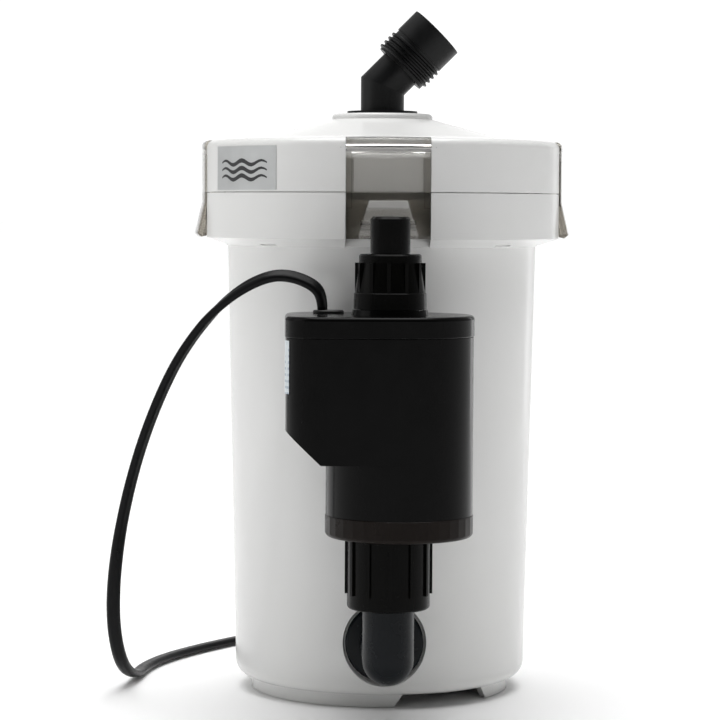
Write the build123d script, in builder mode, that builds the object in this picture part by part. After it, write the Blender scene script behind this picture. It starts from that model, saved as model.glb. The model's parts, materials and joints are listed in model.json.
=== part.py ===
"""External canister filter for an aquarium, with its pump on the side.

Millimetres, +Z up.  The origin is on the floor under the canister's axis, and the pump
stands on the -Y side.  Every sub-part is one STEP file in parts/.
"""
from build123d import *
from math import cos, pi, radians, sin, tan
import os

os.makedirs("parts", exist_ok=True)

# ------------------------------------------------------------------ driving dimensions
# Canister
FOOT_HEIGHT = 5.4
FOOT_RADIUS = 55.0
FOOT_RIB = 4.0
FOOT_GAP_ANGLES = (-61.5, 118.5)    # middle of each gap between the two foot arcs
FOOT_GAP_FLOOR = 44.8               # gap between the arcs on the floor, and at their tops
FOOT_GAP_TOP = 38.0
WALL = 2.6
FLOOR = 3.0
BARREL_LOW_RADIUS = 61.9
BARREL_TOP_RADIUS = 65.9
CONE_LOW = 189.7                    # the barrel widens into the collar between these two
COLLAR_LOW = 193.2
COLLAR_RADIUS = 76.4
SEAM = 212.0                        # collar to lid
MOUTH = 209.5                       # rim of the inner wall
# Lid
LID_GAP = 0.3
SHOULDER = 234.0
SHOULDER_ROUND = 3.2
CREASE = (52.0, 235.5)              # radius and height where the lid starts to rise
BOSS_RADIUS = 21.5
BOSS_LOW = 243.6
BOSS_TOP = 246.0
LID_UNDER_BOSS = 242.6
PLUG_RING = (59.4, 62.9)            # ring under the lid that enters the canister's mouth
PLUG_RING_LOW = 198.0
SEAL_HEIGHT = 202.0
SEAL_SECTION = 1.0
# Clips
CLIP_SIDES = {"front": -90, "left": 180, "back": 90, "right": 0}
CLIP_WIDTH = 33.8
CLIP_RADIUS = 77.1
CLIP_PLATE = 2.2
CLIP_SLOT = 34.4
CLIP_PIN_AT = (72.5, 230.0)         # distance from the axis, height
CLIP_PIN = 1.5
CLIP_KNUCKLE = 2.6
RUNNING_FIT = 0.08
CATCH_FACE = 69.9                   # outer face of the catch lug on the barrel
HOOK_FACE = 70.2                    # nose of the clip's hook
# Outlet elbow on the lid
ELBOW_RADIUS = 9.25
ELBOW_BORE = 7.2
ELBOW_LOW = 236.0
ELBOW_FLANGE = (15.0, 246.3, 247.2)  # radius, low face, top face
MITRE = 258.0
LEG_THREAD = (10.5, 21.8)           # distances along the slanted leg
LEG_END = 32.7
THREAD_ROOT = 12.0
THREAD_CREST = 13.1
THREAD_PITCH = 2.3
LEG_END_RADIUS = 12.5
LEG_END_BORE = 9.8
# Pump
PUMP_Y = -99.0
BLOCK_LEFT = -41.0
BLOCK_CORNER = 15.0
PUMP_RADIUS = 29.0
PUMP_CENTRE_X = 4.0
BLOCK_LOW = 107.0
BLOCK_TOP = 155.5
CAP_TOP = 164.0
COVER_LOW = 76.7
COVER_TOP = 85.5
CHAMBER_RADIUS = 25.5
CHAMBER_TOP = 104.0
WELL_BORE = 9.0
WELL_RADIUS = 10.2
WELL_TOP = 150.0
POCKET_LOW = 118.0
DUCT_X = 22.5
DUCT_RADIUS = 5.5
NUT_RIBS = 12
# Lower pipework
PORT_HEIGHT = 27.5
PORT_SEAT = 57.6                    # distance of the fitting's seat from the axis
PORT_BACK = 51.5
PIPE_RADIUS = 10.15
PIPE_BORE = 8.0
PIPE_BEND = 12.5
UPRIGHT_RADIUS = 10.2
DOME_HEIGHT = 27.2                  # centre of the elbow's domed lower end
# Media baskets
LOW_BASKET = (53.0, 118.0, 58.8)    # bottom, top, radius
HIGH_BASKET = (120.0, 187.0, 60.0)
# Power cord
CORD = 5.8
CORD_LIE = 2.95                     # height of the cord's middle where it lies on the floor
COIL_CENTRE = (0.0, 118.0)
COIL_LAYER = 4.7
COIL_TURNS = (24.3, 41.7)           # inner and outer radius of the bottom layer
PLUG_X = 2.0
PLUG_Y = 148.0
PLUG_SIZE = (36.0, 35.4, 13.7)

CANISTER_AXIS = Plane.XZ            # sketches of turned shapes: x is the radius, y the height


def barrel_radius(height):
    """Outer radius of the drafted barrel at a height."""
    draft = (BARREL_TOP_RADIUS - BARREL_LOW_RADIUS) / (CONE_LOW - FOOT_HEIGHT)
    return BARREL_LOW_RADIUS + draft * (height - FOOT_HEIGHT)


def facing(angle, distance=0.0):
    """Plane that faces outward at an angle round the canister, with its y up."""
    outward = Vector(cos(radians(angle)), sin(radians(angle)), 0)
    sideways = Vector(-sin(radians(angle)), cos(radians(angle)), 0)
    return Plane(origin=outward * distance, x_dir=sideways, z_dir=outward)


def pin_plane(angle):
    """Plane square to a clip's hinge pin, through the pin's middle."""
    middle = facing(angle, CLIP_PIN_AT[0]).origin + Vector(0, 0, CLIP_PIN_AT[1])
    return Plane(origin=middle, x_dir=(0, 0, 1), z_dir=facing(angle).x_dir)


# ------------------------------------------------------------------ canister body
with BuildPart() as feet:
    with BuildSketch(Plane.XY):
        Circle(FOOT_RADIUS)
        Circle(FOOT_RADIUS - FOOT_RIB, mode=Mode.SUBTRACT)
    extrude(amount=FOOT_HEIGHT + 1.0)
    for gap_angle in FOOT_GAP_ANGLES:
        with BuildSketch(facing(gap_angle)):
            with BuildLine():
                Polyline((-FOOT_GAP_FLOOR / 2, 0), (FOOT_GAP_FLOOR / 2, 0),
                         (FOOT_GAP_TOP / 2, FOOT_HEIGHT), (FOOT_GAP_TOP / 2, FOOT_HEIGHT + 1.0),
                         (-FOOT_GAP_TOP / 2, FOOT_HEIGHT + 1.0), (-FOOT_GAP_TOP / 2, FOOT_HEIGHT),
                         close=True)
            make_face()
        extrude(amount=FOOT_RADIUS + 5.0, mode=Mode.SUBTRACT)

with BuildPart() as port_boss:
    with BuildSketch(Plane.XZ.offset(PORT_BACK)):
        with Locations((0, PORT_HEIGHT)):
            Circle(18.8)
    extrude(amount=12.0)
    Cylinder(radius=BARREL_LOW_RADIUS - 0.8, height=4 * PORT_HEIGHT, mode=Mode.INTERSECT)

with BuildPart() as catch_lug:
    with BuildSketch(facing(0, BARREL_TOP_RADIUS - 0.6)):
        with BuildLine():
            Polyline((-12, COLLAR_LOW), (12, COLLAR_LOW), (8, 206.5), (-8, 206.5), close=True)
        make_face()
    extrude(amount=CATCH_FACE - BARREL_TOP_RADIUS + 0.6)
    top_edge = catch_lug.edges().filter_by(Axis.Y).group_by(Axis.Z)[-1].sort_by(Axis.X)[-1]
    chamfer(top_edge, length=2.4)

with BuildPart() as canister_body:
    with BuildSketch(CANISTER_AXIS):
        with BuildLine():
            Polyline((0, FOOT_HEIGHT), (BARREL_LOW_RADIUS, FOOT_HEIGHT),
                     (BARREL_TOP_RADIUS, CONE_LOW), (COLLAR_RADIUS, COLLAR_LOW),
                     (COLLAR_RADIUS, SEAM), (COLLAR_RADIUS - WALL, SEAM),
                     (COLLAR_RADIUS - WALL, COLLAR_LOW + 1.8),
                     (barrel_radius(192.4), 192.4), (barrel_radius(MOUTH), MOUTH),
                     (barrel_radius(MOUTH) - WALL, MOUTH),
                     (barrel_radius(FOOT_HEIGHT + FLOOR) - WALL, FOOT_HEIGHT + FLOOR),
                     (0, FOOT_HEIGHT + FLOOR), close=True)
        make_face()
    revolve(axis=Axis.Z)
    fillet(canister_body.edges().sort_by(Axis.Z)[0], radius=6.5)
    add(feet.part)
    add(port_boss.part)
    # clip slots through the collar, down to the barrel wall
    with BuildSketch(Plane.XY.offset(CONE_LOW - 2)):
        with PolarLocations(80, 4):
            Rectangle(40, CLIP_SLOT)
        Circle(barrel_radius(MOUTH) + 0.1, mode=Mode.SUBTRACT)
    extrude(amount=SEAM - CONE_LOW + 4, mode=Mode.SUBTRACT)
    with PolarLocations(0, 4):
        add(catch_lug.part)
    # drain slots under the gutter
    with BuildSketch(Plane.XY.offset(CONE_LOW - 2)):
        with PolarLocations(68.0, 4, start_angle=45):
            SlotOverall(9.0, 2.6, rotation=90)
    extrude(amount=10.0, mode=Mode.SUBTRACT)
    # port: bevelled pocket outside, hole through the thickened wall
    with BuildSketch(Plane.XZ.offset(PORT_SEAT)):
        with Locations((0, PORT_HEIGHT)):
            Circle(16.4)
    extrude(amount=8.0, taper=-18, mode=Mode.SUBTRACT)
    with BuildSketch(Plane.XZ.offset(PORT_BACK - 4)):
        with Locations((0, PORT_HEIGHT)):
            Circle(13.0)
    extrude(amount=14.0, mode=Mode.SUBTRACT)
canister_body.part.label = "canister_body"
export_step(canister_body.part, "parts/canister_body.step")

# ------------------------------------------------------------------ media support grid
GRID_TOP = 52.0
with BuildPart() as bottom_grid:
    with BuildSketch(Plane.XY.offset(GRID_TOP - 3)):
        Circle(57.8)
        for ring_radius, hole_count in ((10, 6), (20, 12), (30, 18), (40, 24), (50, 30)):
            with PolarLocations(ring_radius, hole_count):
                Circle(3.0, mode=Mode.SUBTRACT)
    extrude(amount=3.0)
    with BuildSketch(Plane.XY.offset(FOOT_HEIGHT + FLOOR)):
        with PolarLocations(41, 4, start_angle=45):
            Circle(3.2)
    extrude(amount=GRID_TOP - 3 - FOOT_HEIGHT - FLOOR)
    with BuildSketch(Plane.XY.offset(GRID_TOP - 7)):
        Circle(57.8)
        Circle(55.8, mode=Mode.SUBTRACT)
        with Locations((0, -57)):
            Rectangle(44, 30, mode=Mode.SUBTRACT)
    extrude(amount=4.0)
bottom_grid.part.label = "bottom_grid"
export_step(bottom_grid.part, "parts/bottom_grid.step")

# ------------------------------------------------------------------ media baskets
for basket_name, (low, top, radius) in (("basket_lower", LOW_BASKET), ("basket_upper", HIGH_BASKET)):
    with BuildPart() as basket:
        with BuildSketch(Plane.XY.offset(low)):
            Circle(radius)
        extrude(amount=top - low)
        with BuildSketch(Plane.XY.offset(low + 2.4)):
            Circle(radius - 2.0)
        extrude(amount=top - low, mode=Mode.SUBTRACT)
        with BuildSketch(Plane.XY.offset(top - 2.5)):
            Circle(radius + 0.9)
            Circle(radius - 1.0, mode=Mode.SUBTRACT)
        extrude(amount=2.5)
        with BuildSketch(Plane.XY.offset(low)):
            for ring_radius, hole_count in ((12, 6), (24, 12), (36, 18), (48, 24)):
                with PolarLocations(ring_radius, hole_count):
                    SlotOverall(7.0, 3.4, rotation=90)
        extrude(amount=2.4, mode=Mode.SUBTRACT)
        with BuildSketch(Plane.XY.offset(low + 10)):
            with PolarLocations(radius, 24):
                Rectangle(8, 4)
        extrude(amount=top - low - 24, mode=Mode.SUBTRACT)
        # two finger lugs stand inside the rim
        with BuildSketch(Plane.XY.offset(top - 5)):
            with PolarLocations(radius - 5, 2, start_angle=90):
                Rectangle(7.0, 24)
            Circle(radius - 1.0, mode=Mode.INTERSECT)
        extrude(amount=2.4)
    basket.part.label = basket_name
    export_step(basket.part, f"parts/{basket_name}.step")

RING_LENGTH = 20.0
with BuildPart() as ceramic_rings:
    for layer in range(2):
        with BuildSketch(Plane.XY.offset(LOW_BASKET[0] + 2.9 + layer * (RING_LENGTH + 0.6))):
            for circle_radius, ring_count in ((17.5, 6), (35.0, 12), (47.6, 17)):
                with PolarLocations(circle_radius, ring_count):
                    Circle(7.6)
            Circle(7.6)
            for circle_radius, ring_count in ((17.5, 6), (35.0, 12), (47.6, 17)):
                with PolarLocations(circle_radius, ring_count):
                    Circle(4.2, mode=Mode.SUBTRACT)
            Circle(4.2, mode=Mode.SUBTRACT)
        extrude(amount=RING_LENGTH)
ceramic_rings.part.label = "ceramic_rings"
export_step(ceramic_rings.part, "parts/ceramic_rings.step")

media_pads = (("bio_pad", LOW_BASKET[0] + 44.5, 15.0, LOW_BASKET[2] - 4.0),
              ("sponge_coarse", HIGH_BASKET[0] + 2.6, 30.0, HIGH_BASKET[2] - 2.6),
              ("wool_fine", HIGH_BASKET[0] + 33.0, 18.0, HIGH_BASKET[2] - 2.6))
for pad_name, low, height, radius in media_pads:
    with BuildPart() as pad:
        with BuildSketch(Plane.XY.offset(low)):
            Circle(radius)
        extrude(amount=height)
        fillet(pad.edges().filter_by(GeomType.CIRCLE), radius=2.0)
    pad.part.label = pad_name
    export_step(pad.part, f"parts/{pad_name}.step")

# ------------------------------------------------------------------ lid
CONE_SLOPE = (BOSS_LOW - CREASE[1]) / (CREASE[0] - BOSS_RADIUS)
RIM_SLOPE = (CREASE[1] - SHOULDER) / (COLLAR_RADIUS - CREASE[0])
LID_LOW = SEAM + LID_GAP


def lid_under(radius):
    """Height of the lid's underside at a radius."""
    if radius < CREASE[0]:
        return CREASE[1] + CONE_SLOPE * (CREASE[0] - radius) - WALL
    return CREASE[1] - RIM_SLOPE * (radius - CREASE[0]) - WALL


with BuildPart() as lid:
    with BuildSketch(CANISTER_AXIS) as lid_profile:
        with BuildLine():
            Polyline((COLLAR_RADIUS, LID_LOW), (COLLAR_RADIUS, SHOULDER), CREASE,
                     (BOSS_RADIUS, BOSS_LOW), (BOSS_RADIUS, BOSS_TOP), (12.0, BOSS_TOP),
                     (12.0, 244.4), (9.7, 244.4), (9.7, LID_UNDER_BOSS), (19.0, LID_UNDER_BOSS),
                     (19.0, lid_under(19.0)), (CREASE[0], lid_under(CREASE[0])),
                     (PLUG_RING[0], lid_under(PLUG_RING[0])), (PLUG_RING[0], PLUG_RING_LOW),
                     (PLUG_RING[1], PLUG_RING_LOW), (PLUG_RING[1], SEAL_HEIGHT - 1.2),
                     (PLUG_RING[1] - 1.7, SEAL_HEIGHT - 1.2),
                     (PLUG_RING[1] - 1.7, SEAL_HEIGHT + 1.2),
                     (PLUG_RING[1], SEAL_HEIGHT + 1.2), (PLUG_RING[1], lid_under(PLUG_RING[1])),
                     (COLLAR_RADIUS - WALL, lid_under(COLLAR_RADIUS - WALL)),
                     (COLLAR_RADIUS - WALL, LID_LOW), close=True)
        make_face()
        shoulder_corner = lid_profile.vertices().sort_by_distance((COLLAR_RADIUS, SHOULDER))[0]
        fillet(shoulder_corner, radius=SHOULDER_ROUND)
        boss_corner = lid_profile.vertices().sort_by_distance((BOSS_RADIUS, BOSS_TOP))[0]
        fillet(boss_corner, radius=1.6)
    revolve(axis=Axis.Z)
    # thick pads behind the clips, then the clip slots and the notches for their hinges
    with BuildSketch(Plane.XY.offset(LID_LOW)):
        with PolarLocations(71.5, 4):
            Rectangle(8.2, 39.2)
        Circle(COLLAR_RADIUS - 1.0, mode=Mode.INTERSECT)
    extrude(amount=SHOULDER - LID_LOW - 1.0)
    with BuildSketch(Plane.XY.offset(CLIP_PIN_AT[1] - 6.2)):
        with PolarLocations(70.0, 4):
            Rectangle(11.2, 39.2)
        Circle(COLLAR_RADIUS - 1.0, mode=Mode.INTERSECT)
    extrude(amount=SHOULDER - CLIP_PIN_AT[1] + 5.2)
    with BuildSketch(Plane.XY.offset(LID_LOW)):
        with PolarLocations(80, 4):
            Rectangle(40, CLIP_SLOT)
        Circle(COLLAR_RADIUS - 2.8, mode=Mode.SUBTRACT)
        for side in (-1, 1):
            with PolarLocations(0, 4):
                with Locations((79.8, side * (CLIP_SLOT / 2 - 1.7))):
                    Rectangle(20, 3.4)
    extrude(amount=SHOULDER - LID_LOW + 2, mode=Mode.SUBTRACT)
    with BuildSketch(Plane.XY.offset(CLIP_PIN_AT[1] - 3.6)):
        with PolarLocations(81, 4):
            Rectangle(30, CLIP_SLOT)
    extrude(amount=12.0, mode=Mode.SUBTRACT)
    for angle in CLIP_SIDES.values():
        with BuildSketch(pin_plane(angle)):
            Circle(CLIP_PIN)
        extrude(amount=CLIP_SLOT / 2 + 2.0, both=True, mode=Mode.SUBTRACT)
lid.part.label = "lid"
export_step(lid.part, "parts/lid.step")

with BuildPart() as clip_pins:
    for angle in CLIP_SIDES.values():
        with BuildSketch(pin_plane(angle)):
            Circle(CLIP_PIN)
        extrude(amount=CLIP_SLOT / 2 + 2.0, both=True)
clip_pins.part.label = "clip_pins"
export_step(clip_pins.part, "parts/clip_pins.step")

with BuildPart() as lid_seal:
    with BuildSketch(CANISTER_AXIS):
        with Locations((PLUG_RING[1] - 1.7 + SEAL_SECTION + 0.05, SEAL_HEIGHT)):
            Circle(SEAL_SECTION)
    revolve(axis=Axis.Z)
lid_seal.part.label = "lid_seal"
export_step(lid_seal.part, "parts/lid_seal.step")

LABEL_START = -155.2                # the badge's first end, round the lid, and its arc
LABEL_ARC = 29.1
with BuildPart() as lid_label:
    with BuildSketch(Plane(origin=(0, 0, 0), x_dir=facing(LABEL_START).z_dir,
                           z_dir=-facing(LABEL_START).x_dir)):
        with Locations((COLLAR_RADIUS + 0.125, 222.0)):
            Rectangle(0.25, 18.0)
    revolve(axis=Axis.Z, revolution_arc=LABEL_ARC)
lid_label.part.label = "lid_label"
export_step(lid_label.part, "parts/lid_label.step")

# ------------------------------------------------------------------ clips
with BuildPart() as clip_shape:
    with BuildSketch(CANISTER_AXIS) as clip_profile:
        with BuildLine():
            Polyline((70.6, SHOULDER), (CLIP_RADIUS, SHOULDER), (CLIP_RADIUS, 208.4),
                     (80.2, 194.8), (78.6, 193.4), (76.5, 193.9),
                     (CLIP_RADIUS - CLIP_PLATE, 207.2),
                     (CLIP_RADIUS - CLIP_PLATE, 229.0), (70.6, 231.4), close=True)
        make_face()
        top_corner = clip_profile.vertices().sort_by_distance((CLIP_RADIUS, SHOULDER))[0]
        fillet(top_corner, radius=2.0)
    revolve(axis=Axis.Z)
    with Locations((75, 0, 214)):
        Box(30, CLIP_WIDTH, 60, mode=Mode.INTERSECT)
    # knuckle round the hinge pin
    with BuildSketch(Plane.XZ):
        with Locations(CLIP_PIN_AT):
            Circle(CLIP_KNUCKLE)
    extrude(amount=CLIP_WIDTH / 2, both=True)
    # turned-in side flanges
    with BuildSketch(Plane.XY.offset(205.5)):
        with Locations((72.6, CLIP_WIDTH / 2 - 1.2), (72.6, 1.2 - CLIP_WIDTH / 2)):
            Rectangle(4.4, 2.4)
    extrude(amount=24.5)
    # hook
    with BuildSketch(Plane.XZ):
        with BuildLine():
            Polyline((HOOK_FACE, 196.6), (76.8, 196.6), (76.2, 200.6), (74.0, 200.6),
                     (HOOK_FACE, 198.4), close=True)
        make_face()
    extrude(amount=11.0, both=True)
    with BuildSketch(Plane.XZ):
        with Locations(CLIP_PIN_AT):
            Circle(CLIP_PIN + RUNNING_FIT)
    extrude(amount=CLIP_WIDTH, both=True, mode=Mode.SUBTRACT)
for side, angle in CLIP_SIDES.items():
    with BuildPart() as clip:
        add(clip_shape.part, rotation=(0, 0, angle))
    clip.part.label = f"clip_{side}"
    export_step(clip.part, f"parts/clip_{side}.step")

# ------------------------------------------------------------------ outlet elbow
LEG_PLANE = Plane(origin=(0, 0, MITRE), x_dir=(0, 1, 0), z_dir=(1, 0, 1))


def along_leg(distance):
    """Point on the slanted leg's axis, at a distance from the mitre."""
    return LEG_PLANE.origin + LEG_PLANE.z_dir * distance


THREAD_TURNS = (LEG_THREAD[1] - LEG_THREAD[0] - 1.8) / THREAD_PITCH
with BuildPart() as hose_thread:
    with BuildLine() as thread_spiral:
        Helix(THREAD_PITCH, THREAD_PITCH * THREAD_TURNS, THREAD_ROOT - 0.2)
    with BuildSketch(Plane.XZ):
        with BuildLine():
            Polyline((THREAD_ROOT - 0.2, -0.95), (THREAD_CREST, -0.3), (THREAD_CREST, 0.3),
                     (THREAD_ROOT - 0.2, 0.95), close=True)
        make_face()
    sweep(path=thread_spiral.line, is_frenet=True)

with BuildPart() as outlet_elbow:
    with BuildLine() as elbow_line:
        Polyline((0, 0, ELBOW_LOW), (0, 0, MITRE), along_leg(LEG_THREAD[0] + 1))
    with BuildSketch(Plane.XY.offset(ELBOW_LOW)):
        Circle(ELBOW_RADIUS)
    sweep(path=elbow_line.line, transition=Transition.RIGHT)
    with BuildSketch(Plane.XY.offset(ELBOW_FLANGE[1])):
        Circle(ELBOW_FLANGE[0])
    extrude(amount=ELBOW_FLANGE[2] - ELBOW_FLANGE[1])
    with BuildSketch(LEG_PLANE.offset(LEG_THREAD[0])):
        Circle(THREAD_ROOT)
    extrude(amount=LEG_THREAD[1] - LEG_THREAD[0])
    with Locations(LEG_PLANE.offset(LEG_THREAD[0] + 0.95).location):
        add(hose_thread.part)
    with BuildSketch(LEG_PLANE.offset(LEG_THREAD[1])):
        Circle(LEG_END_RADIUS)
    extrude(amount=LEG_END - LEG_THREAD[1])
    with BuildLine() as bore_line:
        Polyline((0, 0, ELBOW_LOW - 1), (0, 0, MITRE), along_leg(LEG_END + 1))
    with BuildSketch(Plane.XY.offset(ELBOW_LOW - 1)):
        Circle(ELBOW_BORE)
    sweep(path=bore_line.line, transition=Transition.RIGHT, mode=Mode.SUBTRACT)
    with BuildSketch(LEG_PLANE.offset(LEG_THREAD[1])):
        Circle(LEG_END_BORE)
    extrude(amount=LEG_END - LEG_THREAD[1] + 1, mode=Mode.SUBTRACT)
outlet_elbow.part.label = "outlet_elbow"
export_step(outlet_elbow.part, "parts/outlet_elbow.step")

with BuildPart() as elbow_seal:
    with BuildSketch(CANISTER_AXIS):
        with Locations((ELBOW_RADIUS + 0.95, 245.3)):
            Circle(0.9)
    revolve(axis=Axis.Z)
elbow_seal.part.label = "elbow_seal"
export_step(elbow_seal.part, "parts/elbow_seal.step")

with BuildPart() as elbow_retainer:
    with BuildSketch(Plane.XY.offset(238.6)):
        Circle(14.0)
        Circle(ELBOW_RADIUS, mode=Mode.SUBTRACT)
    extrude(amount=3.6)
elbow_retainer.part.label = "elbow_retainer"
export_step(elbow_retainer.part, "parts/elbow_retainer.step")


# ------------------------------------------------------------------ pump housing
with BuildSketch() as block_plan:
    with Locations(((BLOCK_LEFT + PUMP_CENTRE_X) / 2, PUMP_Y)):
        Rectangle(PUMP_CENTRE_X - BLOCK_LEFT, 2 * PUMP_RADIUS)
    fillet(block_plan.vertices().group_by(Axis.X)[0], radius=BLOCK_CORNER)
    with Locations((PUMP_CENTRE_X, PUMP_Y)):
        Circle(PUMP_RADIUS)

with BuildPart() as pump_housing:
    with BuildSketch(Plane.XY.offset(BLOCK_LOW)):
        add(block_plan.sketch)
    extrude(amount=BLOCK_TOP - BLOCK_LOW)
    # slanted underside at the left end
    with BuildSketch(Plane.XZ.offset(-PUMP_Y)):
        with BuildLine():
            Polyline((BLOCK_LEFT - 1, 120.6), (BLOCK_LEFT - 1, 100), (-19.8, 100), close=True)
        make_face()
    extrude(amount=40, both=True, mode=Mode.SUBTRACT)
    with BuildSketch(Plane.XY.offset(COVER_TOP)):
        with Locations((PUMP_CENTRE_X, PUMP_Y)):
            Circle(PUMP_RADIUS)
    extrude(amount=BLOCK_LOW - COVER_TOP)
    # potted stator pocket, open to the cap
    with BuildSketch(Plane.XY.offset(POCKET_LOW)):
        with Locations((-12.2, PUMP_Y)):
            RectangleRounded(50.8, 48, 8)
    extrude(amount=BLOCK_TOP - POCKET_LOW, mode=Mode.SUBTRACT)
    with BuildSketch(Plane.XY.offset(POCKET_LOW)):
        with Locations((0, PUMP_Y)):
            Circle(WELL_RADIUS)
    extrude(amount=WELL_TOP + 1.5 - POCKET_LOW)
    # wet side: impeller chamber, rotor well, outlet duct
    with BuildSketch(Plane.XY.offset(COVER_TOP)):
        with Locations((PUMP_CENTRE_X, PUMP_Y)):
            Circle(CHAMBER_RADIUS)
    extrude(amount=CHAMBER_TOP - COVER_TOP, mode=Mode.SUBTRACT)
    with BuildSketch(Plane.XY.offset(CHAMBER_TOP)):
        with Locations((0, PUMP_Y)):
            Circle(WELL_BORE)
    extrude(amount=WELL_TOP - CHAMBER_TOP, mode=Mode.SUBTRACT)
    with BuildSketch(Plane.XY.offset(CHAMBER_TOP - 1)):
        with Locations((DUCT_X, PUMP_Y)):
            Circle(DUCT_RADIUS)
    extrude(amount=BLOCK_TOP - CHAMBER_TOP + 1, mode=Mode.SUBTRACT)
pump_housing.part.label = "pump_housing"
export_step(pump_housing.part, "parts/pump_housing.step")

# ------------------------------------------------------------------ pump cap and grommet
CAP_OVERHANG = 0.3
BOSS_RING = (15.4, 166.0)           # low ring round the outlet boss: radius and top
BOSS_THREAD = (11.5, 176.0)         # threaded boss inside the union nut
GROMMET_AT = (-24.0, -84.0)
GROMMET_SIZE = (12.3, 7.0)
GROMMET_TOP = 165.2

with BuildPart() as pump_cap:
    with BuildSketch(Plane.XY.offset(BLOCK_TOP)):
        add(block_plan.sketch)
        offset(amount=CAP_OVERHANG)
    extrude(amount=CAP_TOP - BLOCK_TOP)
    fillet(pump_cap.edges().group_by(Axis.Z)[-1], radius=1.6)
    chamfer(pump_cap.edges().group_by(Axis.Z)[0], length=0.5)
    with BuildSketch(Plane.XY.offset(CAP_TOP - 1)):
        with Locations((0, PUMP_Y)):
            Circle(BOSS_RING[0])
    extrude(amount=BOSS_RING[1] - CAP_TOP + 1, taper=12)
    with BuildSketch(Plane.XY.offset(CAP_TOP)):
        with Locations((0, PUMP_Y)):
            Circle(BOSS_THREAD[0])
    extrude(amount=BOSS_THREAD[1] - CAP_TOP)
    # channel from the duct to the outlet boss
    with BuildSketch(Plane.XY.offset(BLOCK_TOP + 1.5)):
        with Locations((DUCT_X / 2, PUMP_Y)):
            SlotCenterToCenter(DUCT_X, 2 * DUCT_RADIUS)
    extrude(amount=5.5, mode=Mode.SUBTRACT)
    with BuildSketch(Plane.XY.offset(BLOCK_TOP)):
        with Locations((DUCT_X, PUMP_Y)):
            Circle(DUCT_RADIUS)
    extrude(amount=3.0, mode=Mode.SUBTRACT)
    with BuildSketch(Plane.XY.offset(BLOCK_TOP + 4)):
        with Locations((0, PUMP_Y)):
            Circle(7.0)
    extrude(amount=BOSS_THREAD[1] - BLOCK_TOP, mode=Mode.SUBTRACT)
    with BuildSketch(Plane.XY.offset(BLOCK_TOP)):
        with Locations(GROMMET_AT):
            SlotOverall(GROMMET_SIZE[0] - 2.4, GROMMET_SIZE[1] - 2.4)
    extrude(amount=CAP_TOP - BLOCK_TOP, mode=Mode.SUBTRACT)
pump_cap.part.label = "pump_cap"
export_step(pump_cap.part, "parts/pump_cap.step")

with BuildPart() as cord_grommet:
    with BuildSketch(Plane.XY.offset(BLOCK_TOP)):
        with Locations(GROMMET_AT):
            SlotOverall(GROMMET_SIZE[0] - 2.4, GROMMET_SIZE[1] - 2.4)
    extrude(amount=CAP_TOP - BLOCK_TOP)
    with BuildSketch(Plane.XY.offset(CAP_TOP)):
        with Locations(GROMMET_AT):
            SlotOverall(*GROMMET_SIZE)
    extrude(amount=GROMMET_TOP - CAP_TOP)
    chamfer(cord_grommet.edges().group_by(Axis.Z)[-1], length=0.4)
cord_grommet.part.label = "cord_grommet"
export_step(cord_grommet.part, "parts/cord_grommet.step")

with BuildPart() as pump_label:
    with BuildSketch(Plane.XY.offset(134.0)):
        add(block_plan.sketch)
        offset(amount=0.25)
        add(block_plan.sketch, mode=Mode.SUBTRACT)
        with Locations((BLOCK_LEFT - 2, PUMP_Y - 4.6)):
            Rectangle(6.8, 38.0, mode=Mode.INTERSECT)
    extrude(amount=20.6)
pump_label.part.label = "pump_label"
export_step(pump_label.part, "parts/pump_label.step")

# ------------------------------------------------------------------ motor inside the block
STACK = (121.0, 143.0)              # laminations: low and top
with BuildPart() as stator_core:
    with BuildSketch(Plane.XY.offset(STACK[0])):
        with Locations((-11, PUMP_Y)):
            Rectangle(44, 40)
        with Locations((-13, PUMP_Y)):
            Rectangle(26, 18.6, mode=Mode.SUBTRACT)
        with Locations((0, PUMP_Y)):
            Circle(WELL_RADIUS + 0.3, mode=Mode.SUBTRACT)
        with Locations((8, PUMP_Y)):
            Rectangle(7, 10, mode=Mode.SUBTRACT)
    extrude(amount=STACK[1] - STACK[0])
stator_core.part.label = "stator_core"
export_step(stator_core.part, "parts/stator_core.step")

with BuildPart() as stator_coil:
    with BuildSketch(Plane.XZ.offset(-PUMP_Y)):
        with Locations((-29.5, (STACK[0] + STACK[1]) / 2)):
            RectangleRounded(15.4, 27.4, 3)
            Rectangle(7.2, 22.2, mode=Mode.SUBTRACT)
    extrude(amount=9.0, both=True)
stator_coil.part.label = "stator_coil"
export_step(stator_coil.part, "parts/stator_coil.step")

SHAFT = 1.5
SHAFT_ENDS = (82.0, 149.6)
with BuildPart() as rotor_shaft:
    with BuildSketch(Plane.XY.offset(SHAFT_ENDS[0])):
        with Locations((0, PUMP_Y)):
            Circle(SHAFT)
    extrude(amount=SHAFT_ENDS[1] - SHAFT_ENDS[0])
rotor_shaft.part.label = "rotor_shaft"
export_step(rotor_shaft.part, "parts/rotor_shaft.step")

for bush_name, low, top, radius in (("shaft_bush_top", 147.0, 150.0, WELL_BORE),
                                    ("shaft_bush_bottom", 81.0, 86.6, 4.0)):
    with BuildPart() as bush:
        with BuildSketch(Plane.XY.offset(low)):
            with Locations((0, PUMP_Y)):
                Circle(radius)
        extrude(amount=top - low)
        with BuildSketch(Plane.XY.offset(SHAFT_ENDS[0])):
            with Locations((0, PUMP_Y)):
                Circle(SHAFT)
        extrude(amount=SHAFT_ENDS[1] - SHAFT_ENDS[0], mode=Mode.SUBTRACT)
    bush.part.label = bush_name
    export_step(bush.part, f"parts/{bush_name}.step")

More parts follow.
